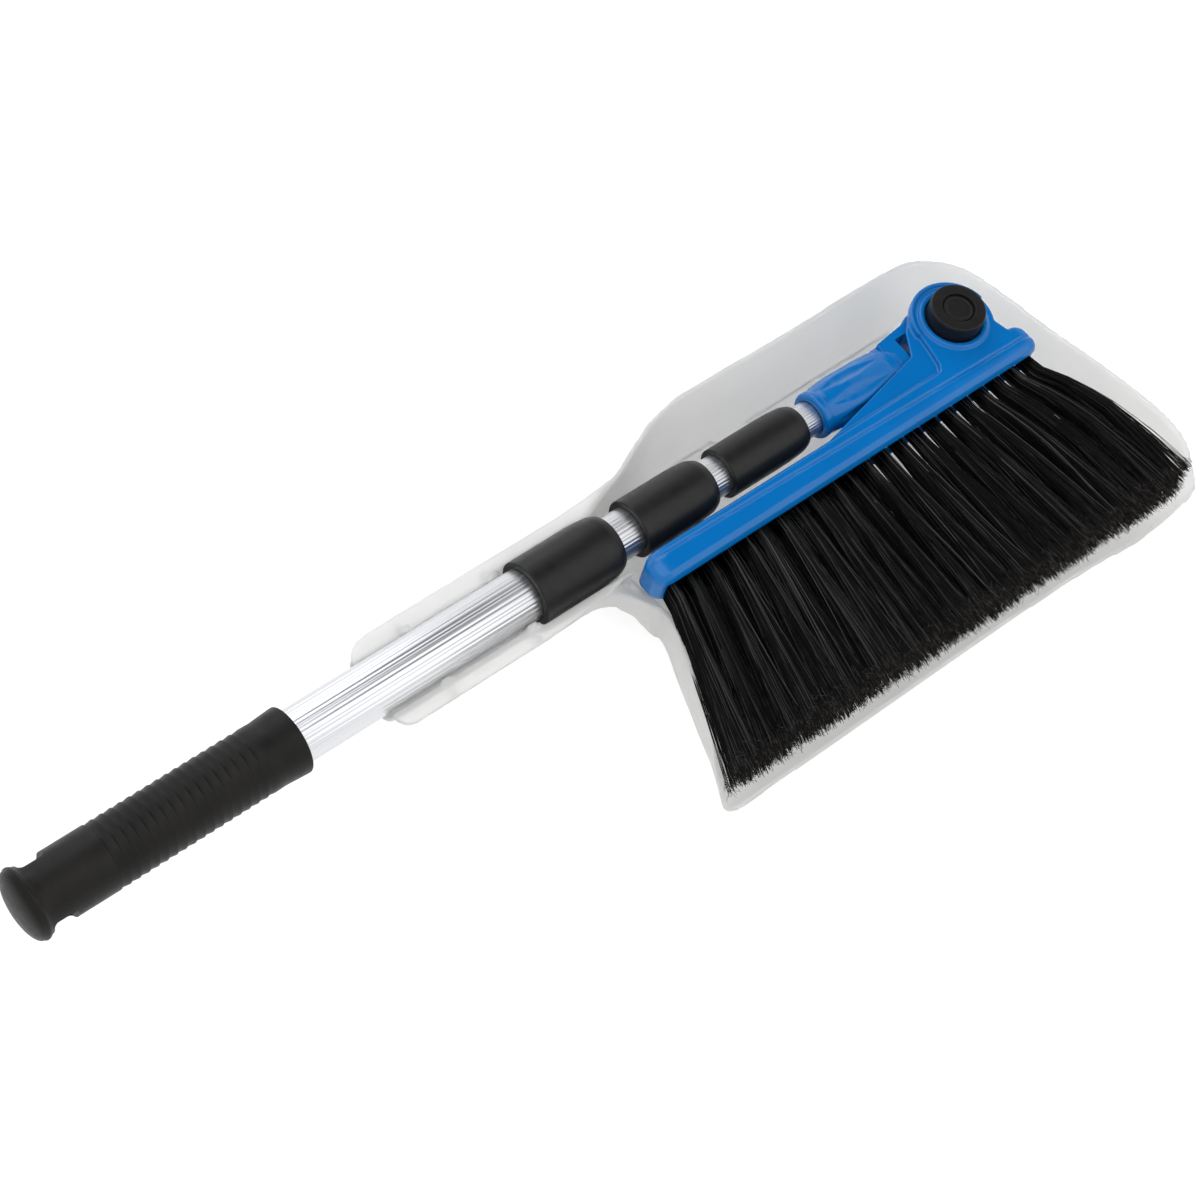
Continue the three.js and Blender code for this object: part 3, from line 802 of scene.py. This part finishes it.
# Station past the neck's rear end, half width and half thickness.
NECK_SHAPE = [
    (0, 11.4, 11.4), (0.7, 12.5, 12.5), (2.0, 13.1, 13.1), (4.2, 13.0, 13.0),
    (5.4, 12.6, 12.6), (8, 13.0, 13.0), (16, 14.1, 13.6), (24, 14.5, 13.1),
    (34, 14.3, 11.6), (44, 13.9, 9.9), (51, 13.5, 8.7), (54, 12.9, 8.1),
    (55.3, 13.5, 8.3), (58.3, 13.6, 8.2), (59.6, 12.9, 7.7), (62, 12.6, 7.4),
]


def panel_sink(part, angle):
    """How far the oblong panels sink into the barrel at this distance and angle."""
    place = (part - PANEL_START) / PANEL_LENGTH
    if not 0 < place < 1:
        return 0.0
    leaf = min(1.0, 3.6 * place) ** 0.7 * min(1.0, 2.4 * (1 - place)) ** 0.9
    from_middle = abs((angle / (2 * math.pi) * PANELS) % 1.0 - 0.5)
    half = 0.31 * leaf
    if from_middle > half:
        return 0.0
    return PANEL_DEPTH * leaf * (1 - (from_middle / half) ** 2)


def neck_barrel():
    """The oval barrel with its sunk panels."""
    shape = np.array(NECK_SHAPE)
    rings = []
    parts = np.unique(np.concatenate([np.linspace(0, shape[-1, 0], 90), shape[:, 0]]))
    for part in parts:
        wide = np.interp(part, shape[:, 0], shape[:, 1])
        thick = np.interp(part, shape[:, 0], shape[:, 2])
        ring = []
        for i in range(NECK_SIDES):
            angle = 2 * math.pi * i / NECK_SIDES
            sink = panel_sink(part, angle + math.pi / 2)
            ring.append(on_handle((wide - sink) * math.cos(angle), (thick - sink) * math.sin(angle),
                                  NECK_REAR + part))
        rings.append(ring)
    return skin("blue_neck", rings)


def neck():
    """Barrel, flat arm and the eye round the fold's axis."""
    start = NECK_REAR + ARM_START
    outline = [
        (-ARM_HALF_WIDTH, start), (ARM_HALF_WIDTH, start),
        *arc((0, PIVOT_Y), EYE_RADIUS, -EYE_FLARE, 180 + EYE_FLARE, 40),
    ]
    arm = prism("arm", outline, HANDLE_Z - ARM_HALF, HANDLE_Z + ARM_HALF)
    window_y = [along(station) for station in WINDOW_STATIONS]
    cut(arm, cuboid("window", WINDOW_X, window_y, (HANDLE_Z - 20, HANDLE_Z + 20)))
    cut(arm, drum("hub", HUB_RADIUS, -20, 20, 64))
    moulded(arm, 0.4, 3)
    barrel = neck_barrel()
    behind, ahead = NECK_REAR - 5, NECK_REAR + SOCKET_DEPTH
    socket = [(0, behind), (SOCKET_RADIUS, behind), (SOCKET_RADIUS, ahead), (0, ahead)]
    cut(barrel, lathe("socket", socket, on_handle, 64))
    gathered(barrel, arm)
    return finish_piece(barrel, "tube_4", "blue_plastic", BLUE, "neck", sharp=50)


# ---- Brush head ------------------------------------------------------

BAR_REAR = 20
BAR_FRONT = 38
BAR_LEVEL = 12.2
GROOVE_X = (23.6, 29.2)
NEAR_ROUND = 9.0
NEAR_DOME = 13.0
FAR_ROUND = 8.0
TAIL_MIDDLE = 33
WEB_TOP = 9.6
PLATE_UNDER = 7.6
LOWER_PLATE = (-16.5, -7.6)
RAISED_TOP = 12.3
BEAD_TOP = 14.0
BOSS_RADIUS = 24
BUTTON_RADIUS = 15.3
TUFTS = 22
SLOT_TOP = 5.6
TRENCH_END = 3.4
BOSS_ARC = (57, 215.5)
PLATEAU_ARC = (57, 205)
STEM_ROOM = 5
POCKET_RADIUS = 9.6
EYE_ROOM = 19.8
HEAD_VOXEL = 0.5
TUFT_ROOTS = (355, 606)


def tuft_root(i):
    """Row y of the middle of one column of tufts where it leaves the bar."""
    near, far = TUFT_ROOTS
    return along(near + i * (far - near) / (TUFTS - 1))


def bar_section(size_x, size_z, groove_x, middle):
    """The bar across its length: flat back strip, fine groove, and a crowned front strip."""
    level = BAR_LEVEL
    top = [
        (BAR_REAR, 9.8), (BAR_REAR + 0.7, 11.4), (BAR_REAR + 2, level), (groove_x - 0.8, level),
        (groove_x - 0.4, level - 0.8), (groove_x + 0.4, level - 0.8), (groove_x + 0.9, level + 0.1),
        (groove_x + 3, level + 0.4), (34.5, level - 0.2), (37.0, 10.4), (38.2, 8.2),
        (BAR_FRONT + 0.4, 6.0), (BAR_FRONT, 4.4), (BAR_FRONT, 2),
    ]
    bottom = [
        (BAR_FRONT, -2), (BAR_FRONT, -5), (38.2, -8.2), (36.8, -10.6), (34.5, -level),
        (BAR_REAR + 3, -level), (BAR_REAR + 0.8, -11.2), (BAR_REAR, -9.4),
    ]
    return [(middle + (x - middle) * size_x, z * size_z) for x, z in top + bottom]


def bend(distance, length):
    """Share of the full size at a distance from the end of a round of this length."""
    left = max(0.0, 1 - distance / length)
    return math.sqrt(max(0, 1 - left**2))


def bar_stations():
    """Where the bar's rings lie, closer together round both ends."""
    near, far = BAR_NEAR, BAR_FAR
    bends = [near + NEAR_DOME * (1 - math.sin(a)) for a in np.linspace(math.pi / 2, 0.02, 16)]
    tail = [far - FAR_ROUND * (1 - math.sin(a)) for a in np.linspace(0.02, math.pi / 2, 9)]
    return sorted({*bends, *np.linspace(near + NEAR_DOME, far - FAR_ROUND, 30), *tail})


def bar():
    """The long bar, rounded at both ends."""
    rings = []
    for y in bar_stations():
        groove_x = GROOVE_X[0] + (GROOVE_X[1] - GROOVE_X[0]) * (y - BAR_NEAR) / (BAR_FAR - BAR_NEAR)
        size_x = 0.3 + 0.7 * bend(y - BAR_NEAR, NEAR_ROUND)
        size_z = 0.5 + 0.5 * bend(y - BAR_NEAR, NEAR_DOME)
        middle = (BAR_REAR + BAR_FRONT) / 2
        if y > BAR_FAR - FAR_ROUND:
            tail = bend(BAR_FAR - y, FAR_ROUND)
            size_x = 0.5 + 0.5 * tail
            size_z = 0.8 + 0.2 * tail
            middle = TAIL_MIDDLE
        rings.append([(x, y, HANDLE_Z + z) for x, z in bar_section(size_x, size_z, groove_x, middle)])
    return skin("blue_brush_head", rings)


def plate_plan():
    """Round boss on the pivot and long web out to the bar."""
    return [
        (BAR_REAR + 5, along(462)), (BAR_REAR + 5, along(606)),
        *arc((0, PIVOT_Y), BOSS_RADIUS, *BOSS_ARC, 40),
        (-9, along(557.5)), (4.5, along(549)), (BAR_REAR + 0.5, along(472)),
    ]


def raised_plan():
    """The higher floor round the boss, whose edge curves down to a corner beside the bar."""
    edge = ((-14.5, 564), (-7, 561.5), (2, 560), (10, 558.6), (17, 557), (20.6, 554.6), (22.2, 551))
    return [
        (BAR_REAR + 4, along(551)), (BAR_REAR + 4, along(606)),
        *arc((0, PIVOT_Y), BOSS_RADIUS - 0.6, *PLATEAU_ARC, 40),
        *[(x, along(s)) for x, s in edge],
    ]


def bead():
    """The raised ring round the button."""
    inner = BUTTON_RADIUS + 0.6
    profile = [(inner, 8.6), (inner + 3.3, 8.6), (inner + 3.3, BEAD_TOP - 0.6), (inner + 2.4, BEAD_TOP),
               (inner + 0.8, BEAD_TOP), (inner, BEAD_TOP - 0.5)]
    return lathe("bead", profile, on_pivot, 96)


def boss_rim():
    """The raised edge on the outer half of the boss."""
    outer = BOSS_RADIUS - 0.1
    profile = [(outer - 2.3, 9), (outer, 9), (outer, 12.9), (outer - 0.7, 13.9), (outer - 1.7, 13.9),
               (outer - 2.3, 13.4)]
    rim = lathe("rim", profile, on_pivot, 96)
    bar_side = cuboid("bar_side", (-2, 40), (PIVOT_Y - 40, PIVOT_Y + 40), (HANDLE_Z, HANDLE_Z + 30))
    return cut(rim, bar_side)


def trench():
    """The long slot in the bar's front that all the tufts stand in."""
    x = (BAR_FRONT - 4.5, BAR_FRONT + 6)
    y = (tuft_root(0) - TRENCH_END, tuft_root(TUFTS - 1) + TRENCH_END)
    return cuboid("trench", x, y, (HANDLE_Z - 9.1, HANDLE_Z + SLOT_TOP))


def brush_head():
    """Bar, web between two plates, and the boss with its rooms for the button and the neck's eye."""
    head = bar()
    join(head, prism("plate", plate_plan(), HANDLE_Z + PLATE_UNDER, HANDLE_Z + WEB_TOP))
    join(head, prism("plate", plate_plan(), HANDLE_Z + LOWER_PLATE[0], HANDLE_Z + LOWER_PLATE[1]))
    join(head, prism("plateau", raised_plan(), HANDLE_Z + PLATE_UNDER + 1, HANDLE_Z + RAISED_TOP))
    join(head, bead(), boss_rim())
    cut(head, drum("recess", BUTTON_RADIUS + 0.6, 9.4, 25))
    cut(head, drum("stem_hole", STEM_ROOM, 0, 20, 48))
    cut(head, drum("pocket", POCKET_RADIUS, -20, -ARM_HALF, 64))
    cut(head, drum("eye_room", EYE_ROOM, -PLATE_UNDER, PLATE_UNDER))
    cut(head, trench())
    head.name = "blue_brush_head"
    moulded(head, HEAD_VOXEL, 9)
    return finish_piece(head, "brush_head", "blue_plastic", BLUE, "brush_head", sharp=0)


SKIRT_LEVEL = 12.6
SKIRT_BORE = 12.6
STEM_RADIUS = 4.6
SCREW_BORE = 2.2


def fold_button():
    """The push button: a face with two round grooves, a short skirt, and a stem for the screw."""
    top = BUTTON_TOP
    low = box_mm("fold_button")[0].z - HANDLE_Z
    face = [(0, top - 1.3), (6.0, top - 1.3), (6.4, top - 1.7), (6.9, top - 1.7), (7.3, top - 1.2),
            (8.0, top - 1.2), (8.2, top - 2.2), (8.9, top - 2.2), (9.1, top, 0.4), (14.9, top, 0.9)]
    skirt = [(BUTTON_RADIUS, top - 1.5), (BUTTON_RADIUS, SKIRT_LEVEL, 0.4),
             (SKIRT_BORE, SKIRT_LEVEL, 0.4), (SKIRT_BORE, SKIRT_LEVEL + 3)]
    stem = [(STEM_RADIUS, SKIRT_LEVEL + 3), (STEM_RADIUS, low), (SCREW_BORE, low),
            (SCREW_BORE, low + 8), (0, low + 8)]
    piece = lathe("push_button", rounded([*face, *skirt, *stem], 0.25), on_pivot, 128)
    return finish_piece(piece, "fold_button", "black_plastic", BUTTON_BLACK, "fold_button", sharp=35)


# ---- Bristles --------------------------------------------------------

SIDES = 3
STRANDS = 440
STRAND_POINTS = 9
STRAND_RADII = (0.25, 0.16)
FUZZ = 330
FUZZ_POINTS = 5
FUZZ_RADII = (0.13, 0.07)
WILD_SHARE = 0.05
WAVE = 0.35
TIP_STATIONS = (320, 624)
TIP_REACH = (139.5, 144.5)
TIP_UP = 12.0
TIP_DOWN = 18.5
TRIM_LEAN = 4.5
TIP_SET_BACK = 3.0
TIP_SCALLOP = 0.9
TIP_SPREAD = 0.58
ROOT_X = BAR_FRONT - 4.2
ROOT_HALF = 2.2
ROOT_LEVELS = (-8.4, 4.8)
LOWER_SHARE = 0.45
SEE_THROUGH = (0.38, 0.6)
OPEN_LIFT = 6
OPEN_HALF = 3.1
BOW = ((0, 0.06, 0.25, 0.45, 0.7, 1), (0, 0.05, 0.6, 0.93, 1.04, 1))


def strand_points(paths, radii):
    """Three corners round every point of every path, as strands x points x corners x 3."""
    tangent = np.gradient(paths, axis=1)
    tangent /= np.linalg.norm(tangent, axis=2, keepdims=True)
    first = np.cross(tangent, np.array([0.13, 0.21, 0.97]))
    first /= np.linalg.norm(first, axis=2, keepdims=True)
    second = np.cross(tangent, first)
    rings = []
    for k in range(SIDES):
        angle = 2 * math.pi * k / SIDES
        rings.append(paths + radii[:, :, None] * (math.cos(angle) * first + math.sin(angle) * second))
    return np.stack(rings, axis=2)


def strand_faces(count, points):
    """Side faces as rows of four vertex numbers and end faces as rows of three."""
    strand = np.arange(count)[:, None, None] * points
    base = (strand + np.arange(points - 1)[None, :, None]) * SIDES
    k = np.arange(SIDES)[None, None, :]
    after = (k + 1) % SIDES
    quads = np.stack([base + k, base + after, base + SIDES + after, base + SIDES + k], axis=-1)
    ends = []
    for row, order in ((0, (0, 2, 1)), (points - 1, (0, 1, 2))):
        start = (np.arange(count) * points + row) * SIDES
        ends.append(np.stack([start + o for o in order], axis=-1))
    return quads.reshape(-1, 4), np.concatenate(ends)


def strand_mesh(name, paths, radii):
    """Three-sided filaments along many paths at once: paths is strands x points x 3."""
    points = strand_points(paths, radii).reshape(-1, 3)
    quads, ends = strand_faces(*paths.shape[:2])
    mesh = bpy.data.meshes.new(name)
    mesh.vertices.add(len(points))
    mesh.vertices.foreach_set("co", (points * MM).astype(np.float32).ravel())
    loops = np.concatenate([quads.ravel(), ends.ravel()])
    mesh.loops.add(len(loops))
    mesh.loops.foreach_set("vertex_index", loops.astype(np.int32))
    starts = np.concatenate([np.arange(len(quads)) * 4, len(quads) * 4 + np.arange(len(ends)) * 3])
    mesh.polygons.add(len(starts))
    mesh.polygons.foreach_set("loop_start", starts.astype(np.int32))
    mesh.update(calc_edges=True)
    obj = bpy.data.objects.new(name, mesh)
    bpy.context.scene.collection.objects.link(obj)
    return obj


def tip_row(i):
    """Share along the row, middle y, pitch and reach of one column's tips."""
    t = i / (TUFTS - 1)
    near, far = TIP_STATIONS
    y = along(near + t * (far - near))
    reach = TIP_REACH[0] + t * (TIP_REACH[1] - TIP_REACH[0])
    return t, y, (far - near) / (TUFTS - 1), reach


def trim_slope(level):
    """How far the trimmed face leans back at a level."""
    return TRIM_LEAN * np.clip((level + TIP_DOWN) / (TIP_UP + TIP_DOWN), 0, 1) ** 1.5


def tuft_tips(i, side, rise, wild, random):
    """Ends of the filaments, on a slanted and uneven trim."""
    _, tip_y, pitch, reach = tip_row(i)
    tip_side = 0.7 * side + 0.45 * random.uniform(-1, 1, STRANDS) + 0.5 * wild
    tip_rise = 0.8 * rise + 0.25 * random.uniform(-1, 1, STRANDS)
    level = np.where(tip_rise > 0, tip_rise * TIP_UP, tip_rise * TIP_DOWN)
    x = reach - trim_slope(level)
    x += random.normal(0, 0.8, STRANDS) - TIP_SET_BACK + TIP_SCALLOP * np.sin(2.2 * side + 1.7 * i)
    return np.stack([x, tip_y + tip_side * pitch * TIP_SPREAD, HANDLE_Z + level], axis=-1)


def tuft_roots(i, side, rise, open_part):
    """Starts of the filaments in the slot. The lower rows fill the pitch where no gap shows."""
    level = np.interp(rise, (-1, 1), ROOT_LEVELS) + (1 - rise) / 2 * OPEN_LIFT * open_part
    root_pitch = tuft_root(1) - tuft_root(0)
    lower_half = (0.5 * root_pitch + 0.3) * (1 - open_part) + OPEN_HALF * open_part
    if i == 0:
        lower_half = ROOT_HALF + 0.6
    beside = side * np.where(rise < 2 * LOWER_SHARE - 1, lower_half, ROOT_HALF)
    return np.stack([np.full(STRANDS, ROOT_X), tuft_root(i) + beside, HANDLE_Z + level], axis=-1)


def tuft_paths(i, random):
    """Filaments of one column: straight out of the slot, then fanning to the trim."""
    t, tip_y, _, _ = tip_row(i)
    side = random.uniform(-1, 1, STRANDS)
    rise = random.uniform(-1, 1, STRANDS)
    wild = (random.random(STRANDS) < WILD_SHARE) * random.normal(0, 1, STRANDS)
    open_part = np.clip((t - SEE_THROUGH[0]) / (SEE_THROUGH[1] - SEE_THROUGH[0]), 0, 1)
    tip = tuft_tips(i, side, rise, wild, random)
    root = tuft_roots(i, side, rise, open_part)
    s = np.linspace(0, 1, STRAND_POINTS)[None, :]
    free = np.clip((s - 0.05) / 0.95, 0, 1)
    bowed = np.interp(free, *BOW)
    far_part = np.clip((t - 0.5) / 0.5, 0, 1) ** 1.5
    centre = tuft_root(i) + (tip_y - tuft_root(i)) * (free + (bowed - free) * far_part)
    fan = free ** (1.25 + 0.25 * open_part)
    phase = random.uniform(0, 2 * math.pi, (2, STRANDS, 1))
    paths = np.empty((STRANDS, STRAND_POINTS, 3))
    paths[:, :, 0] = root[:, :1] + (tip[:, :1] - root[:, :1]) * s
    paths[:, :, 1] = centre + (root[:, 1:2] - tuft_root(i)) * (1 - free) + (tip[:, 1:2] - tip_y) * fan
    paths[:, :, 2] = root[:, 2:3] + (tip[:, 2:3] - root[:, 2:3]) * free**0.9
    paths[:, :, 1] += WAVE * free * np.sin(2 * math.pi * s * 1.7 + phase[0])
    paths[:, :, 1] += 0.5 * np.sin(math.pi * s) * wild[:, None]
    paths[:, :, 2] += WAVE * free * np.sin(2 * math.pi * s * 1.4 + phase[1])
    return paths


def fuzz_paths(i, random):
    """Short crooked hairs in the last few millimetres, where the filaments have split."""
    _, tip_y, pitch, reach = tip_row(i)
    level = random.uniform(-TIP_DOWN, TIP_UP, FUZZ)
    x = reach - trim_slope(level) - random.uniform(5, 10, FUZZ)
    start = np.stack([x, tip_y + random.uniform(-0.6, 0.6, FUZZ) * pitch, HANDLE_Z + level], axis=-1)
    way = np.stack([random.uniform(0.6, 1.0, FUZZ), random.normal(0, 0.45, FUZZ),
                    random.normal(0, 0.35, FUZZ)], axis=-1)
    way /= np.linalg.norm(way, axis=1, keepdims=True)
    length = random.uniform(2, 5, FUZZ)
    s = np.linspace(0, 1, FUZZ_POINTS)[None, :, None]
    bent = random.normal(0, 1.6, (FUZZ, 1, 3)) * np.array([0.3, 1, 1])
    return start[:, None, :] + way[:, None, :] * length[:, None, None] * s + bent * s**2


def bristle_tuft(i):
    """One column of filaments with the split ends at its tips."""
    random = np.random.default_rng(SEED + i)
    number = f"{i + 1:02d}"
    thick = np.linspace(*STRAND_RADII, STRAND_POINTS)[None, :] * random.uniform(0.85, 1.15, (STRANDS, 1))
    main = strand_mesh(f"tuft_strands_{number}", tuft_paths(i, random), thick)
    thin = np.linspace(*FUZZ_RADII, FUZZ_POINTS)[None, :] * np.ones((FUZZ, 1))
    fuzz = strand_mesh(f"tuft_fuzz_{number}", fuzz_paths(i, random), thin)
    gathered(main, fuzz)
    return finish_piece(main, "brush_head", "bristle_fibre", FIBRE, f"bristle_tuft_{number}", sharp=0)


# ---- Assembly --------------------------------------------------------


def keep_cad(node, material):
    """Keeps a hidden CAD piece as it is, in its material."""
    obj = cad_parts[node]
    obj.data.materials.clear()
    obj.data.materials.append(material)


dustpan()
grip()
for number, body in enumerate(("tube_1", "tube_2", "tube_3", "tube_4"), start=1):
    tube(number, body)
for number in (1, 2, 3):
    collar(number, f"collar_{number}")
    keep_cad(f"collet_{number}", ACETAL)
    keep_cad(f"end_plug_{number + 1}", ACETAL)
neck()
brush_head()
fold_button()
keep_cad("lock_gear", ACETAL)
keep_cad("spring_cover", BLUE)
keep_cad("button_spring", STEEL)
keep_cad("button_screw", STEEL)
for tuft_number in range(TUFTS):
    bristle_tuft(tuft_number)


# ---- Floor, light and camera -----------------------------------------


def floor():
    """The plain pale floor that everything stands on."""
    mesh = bpy.data.meshes.new("studio_floor")
    mesh.from_pydata([(-6, -6, 0), (6, -6, 0), (6, 6, 0), (-6, 6, 0)], [], [(0, 1, 2, 3)])
    obj = bpy.data.objects.new("studio_floor", mesh)
    bpy.context.scene.collection.objects.link(obj)
    obj.location.z = -0.0005
    n = Nodes("pale_floor")
    n.set(Base_Color=(0.42, 0.42, 0.42, 1), Roughness=0.9, Specular_IOR_Level=0.1)
    n.set(Emission_Color=(1, 1, 1, 1), Emission_Strength=0.7)
    mesh.materials.append(n.material)


def softbox(name, place, target, size, power, colour=(1, 1, 1)):
    """A rectangular soft light that points at a target."""
    light = bpy.data.lights.new(name, "AREA")
    light.shape = "RECTANGLE"
    light.size, light.size_y = size
    light.energy = power
    light.color = colour
    obj = bpy.data.objects.new(name, light)
    obj.location = place
    obj.rotation_euler = (Vector(target) - Vector(place)).to_track_quat("-Z", "Y").to_euler()
    bpy.context.scene.collection.objects.link(obj)


SKY_BRIGHT = (0.96, 0.96, 0.97)
SKY_DARK = (0.05, 0.05, 0.055)
SKY_GAP = (-0.33, 0.44, 0.83)
GAP_EDGES = (math.cos(math.radians(32)), math.cos(math.radians(15)))


def sky():
    """Even pale surroundings with one dark gap overhead, which the metal and the gloss can show."""
    world = bpy.data.worlds.new("studio")
    bpy.context.scene.world = world
    world.use_nodes = True
    tree = world.node_tree
    coords = tree.nodes.new("ShaderNodeTexCoord")
    toward = tree.nodes.new("ShaderNodeVectorMath")
    toward.operation = "DOT_PRODUCT"
    toward.inputs[1].default_value = Vector(SKY_GAP).normalized()
    ramp = tree.nodes.new("ShaderNodeMapRange")
    ramp.interpolation_type = "SMOOTHSTEP"
    ramp.inputs["From Min"].default_value, ramp.inputs["From Max"].default_value = GAP_EDGES
    mix = tree.nodes.new("ShaderNodeMix")
    mix.data_type = "RGBA"
    mix.inputs[6].default_value = (*SKY_BRIGHT, 1)
    mix.inputs[7].default_value = (*SKY_DARK, 1)
    tree.links.new(coords.outputs["Generated"], toward.inputs[0])
    tree.links.new(toward.outputs["Value"], ramp.inputs["Value"])
    tree.links.new(ramp.outputs["Result"], mix.inputs["Factor"])
    tree.links.new(mix.outputs[2], tree.nodes["Background"].inputs["Color"])


CAMERA_AZIMUTH = 33.44
CAMERA_ELEVATION = 57.99
CAMERA_ROLL = 19.79
CAMERA_DISTANCE = 1.311
CAMERA_TARGET = Vector((0.02303, -0.17976, HANDLE_Z * MM))
CAMERA_LENS = 80.52


def camera():
    """The camera, placed by its angles and distance round the target."""
    data = bpy.data.cameras.new("camera")
    obj = bpy.data.objects.new("camera", data)
    bpy.context.scene.collection.objects.link(obj)
    az, el, roll = (math.radians(a) for a in (CAMERA_AZIMUTH, CAMERA_ELEVATION, CAMERA_ROLL))
    back = Vector((math.sin(az) * math.cos(el), -math.cos(az) * math.cos(el), math.sin(el)))
    right = (-back).cross(Vector((0, 0, 1))).normalized()
    up = right.cross(-back)
    turned_right = right * math.cos(roll) + up * math.sin(roll)
    turned_up = up * math.cos(roll) - right * math.sin(roll)
    rotation = Matrix((turned_right, turned_up, back)).transposed()
    obj.matrix_world = Matrix.Translation(CAMERA_TARGET + back * CAMERA_DISTANCE) @ rotation.to_4x4()
    data.lens = CAMERA_LENS
    data.sensor_width = 36
    data.clip_start, data.clip_end = 0.05, 50
    bpy.context.scene.camera = obj


floor()
sky()
softbox("key", (1.25, 0.8, 1.45), (0, -0.1, 0), (1.5, 2.2), 8)
softbox("top", (0.0, -0.6, 1.95), (0, -0.1, 0), (1.8, 1.2), 7.5)
softbox("side", (-1.3, 0.2, 1.2), (0, -0.1, 0), (0.9, 1.6), 8.5, (0.92, 0.95, 1.0))
camera()
bpy.context.scene.view_settings.view_transform = "Standard"
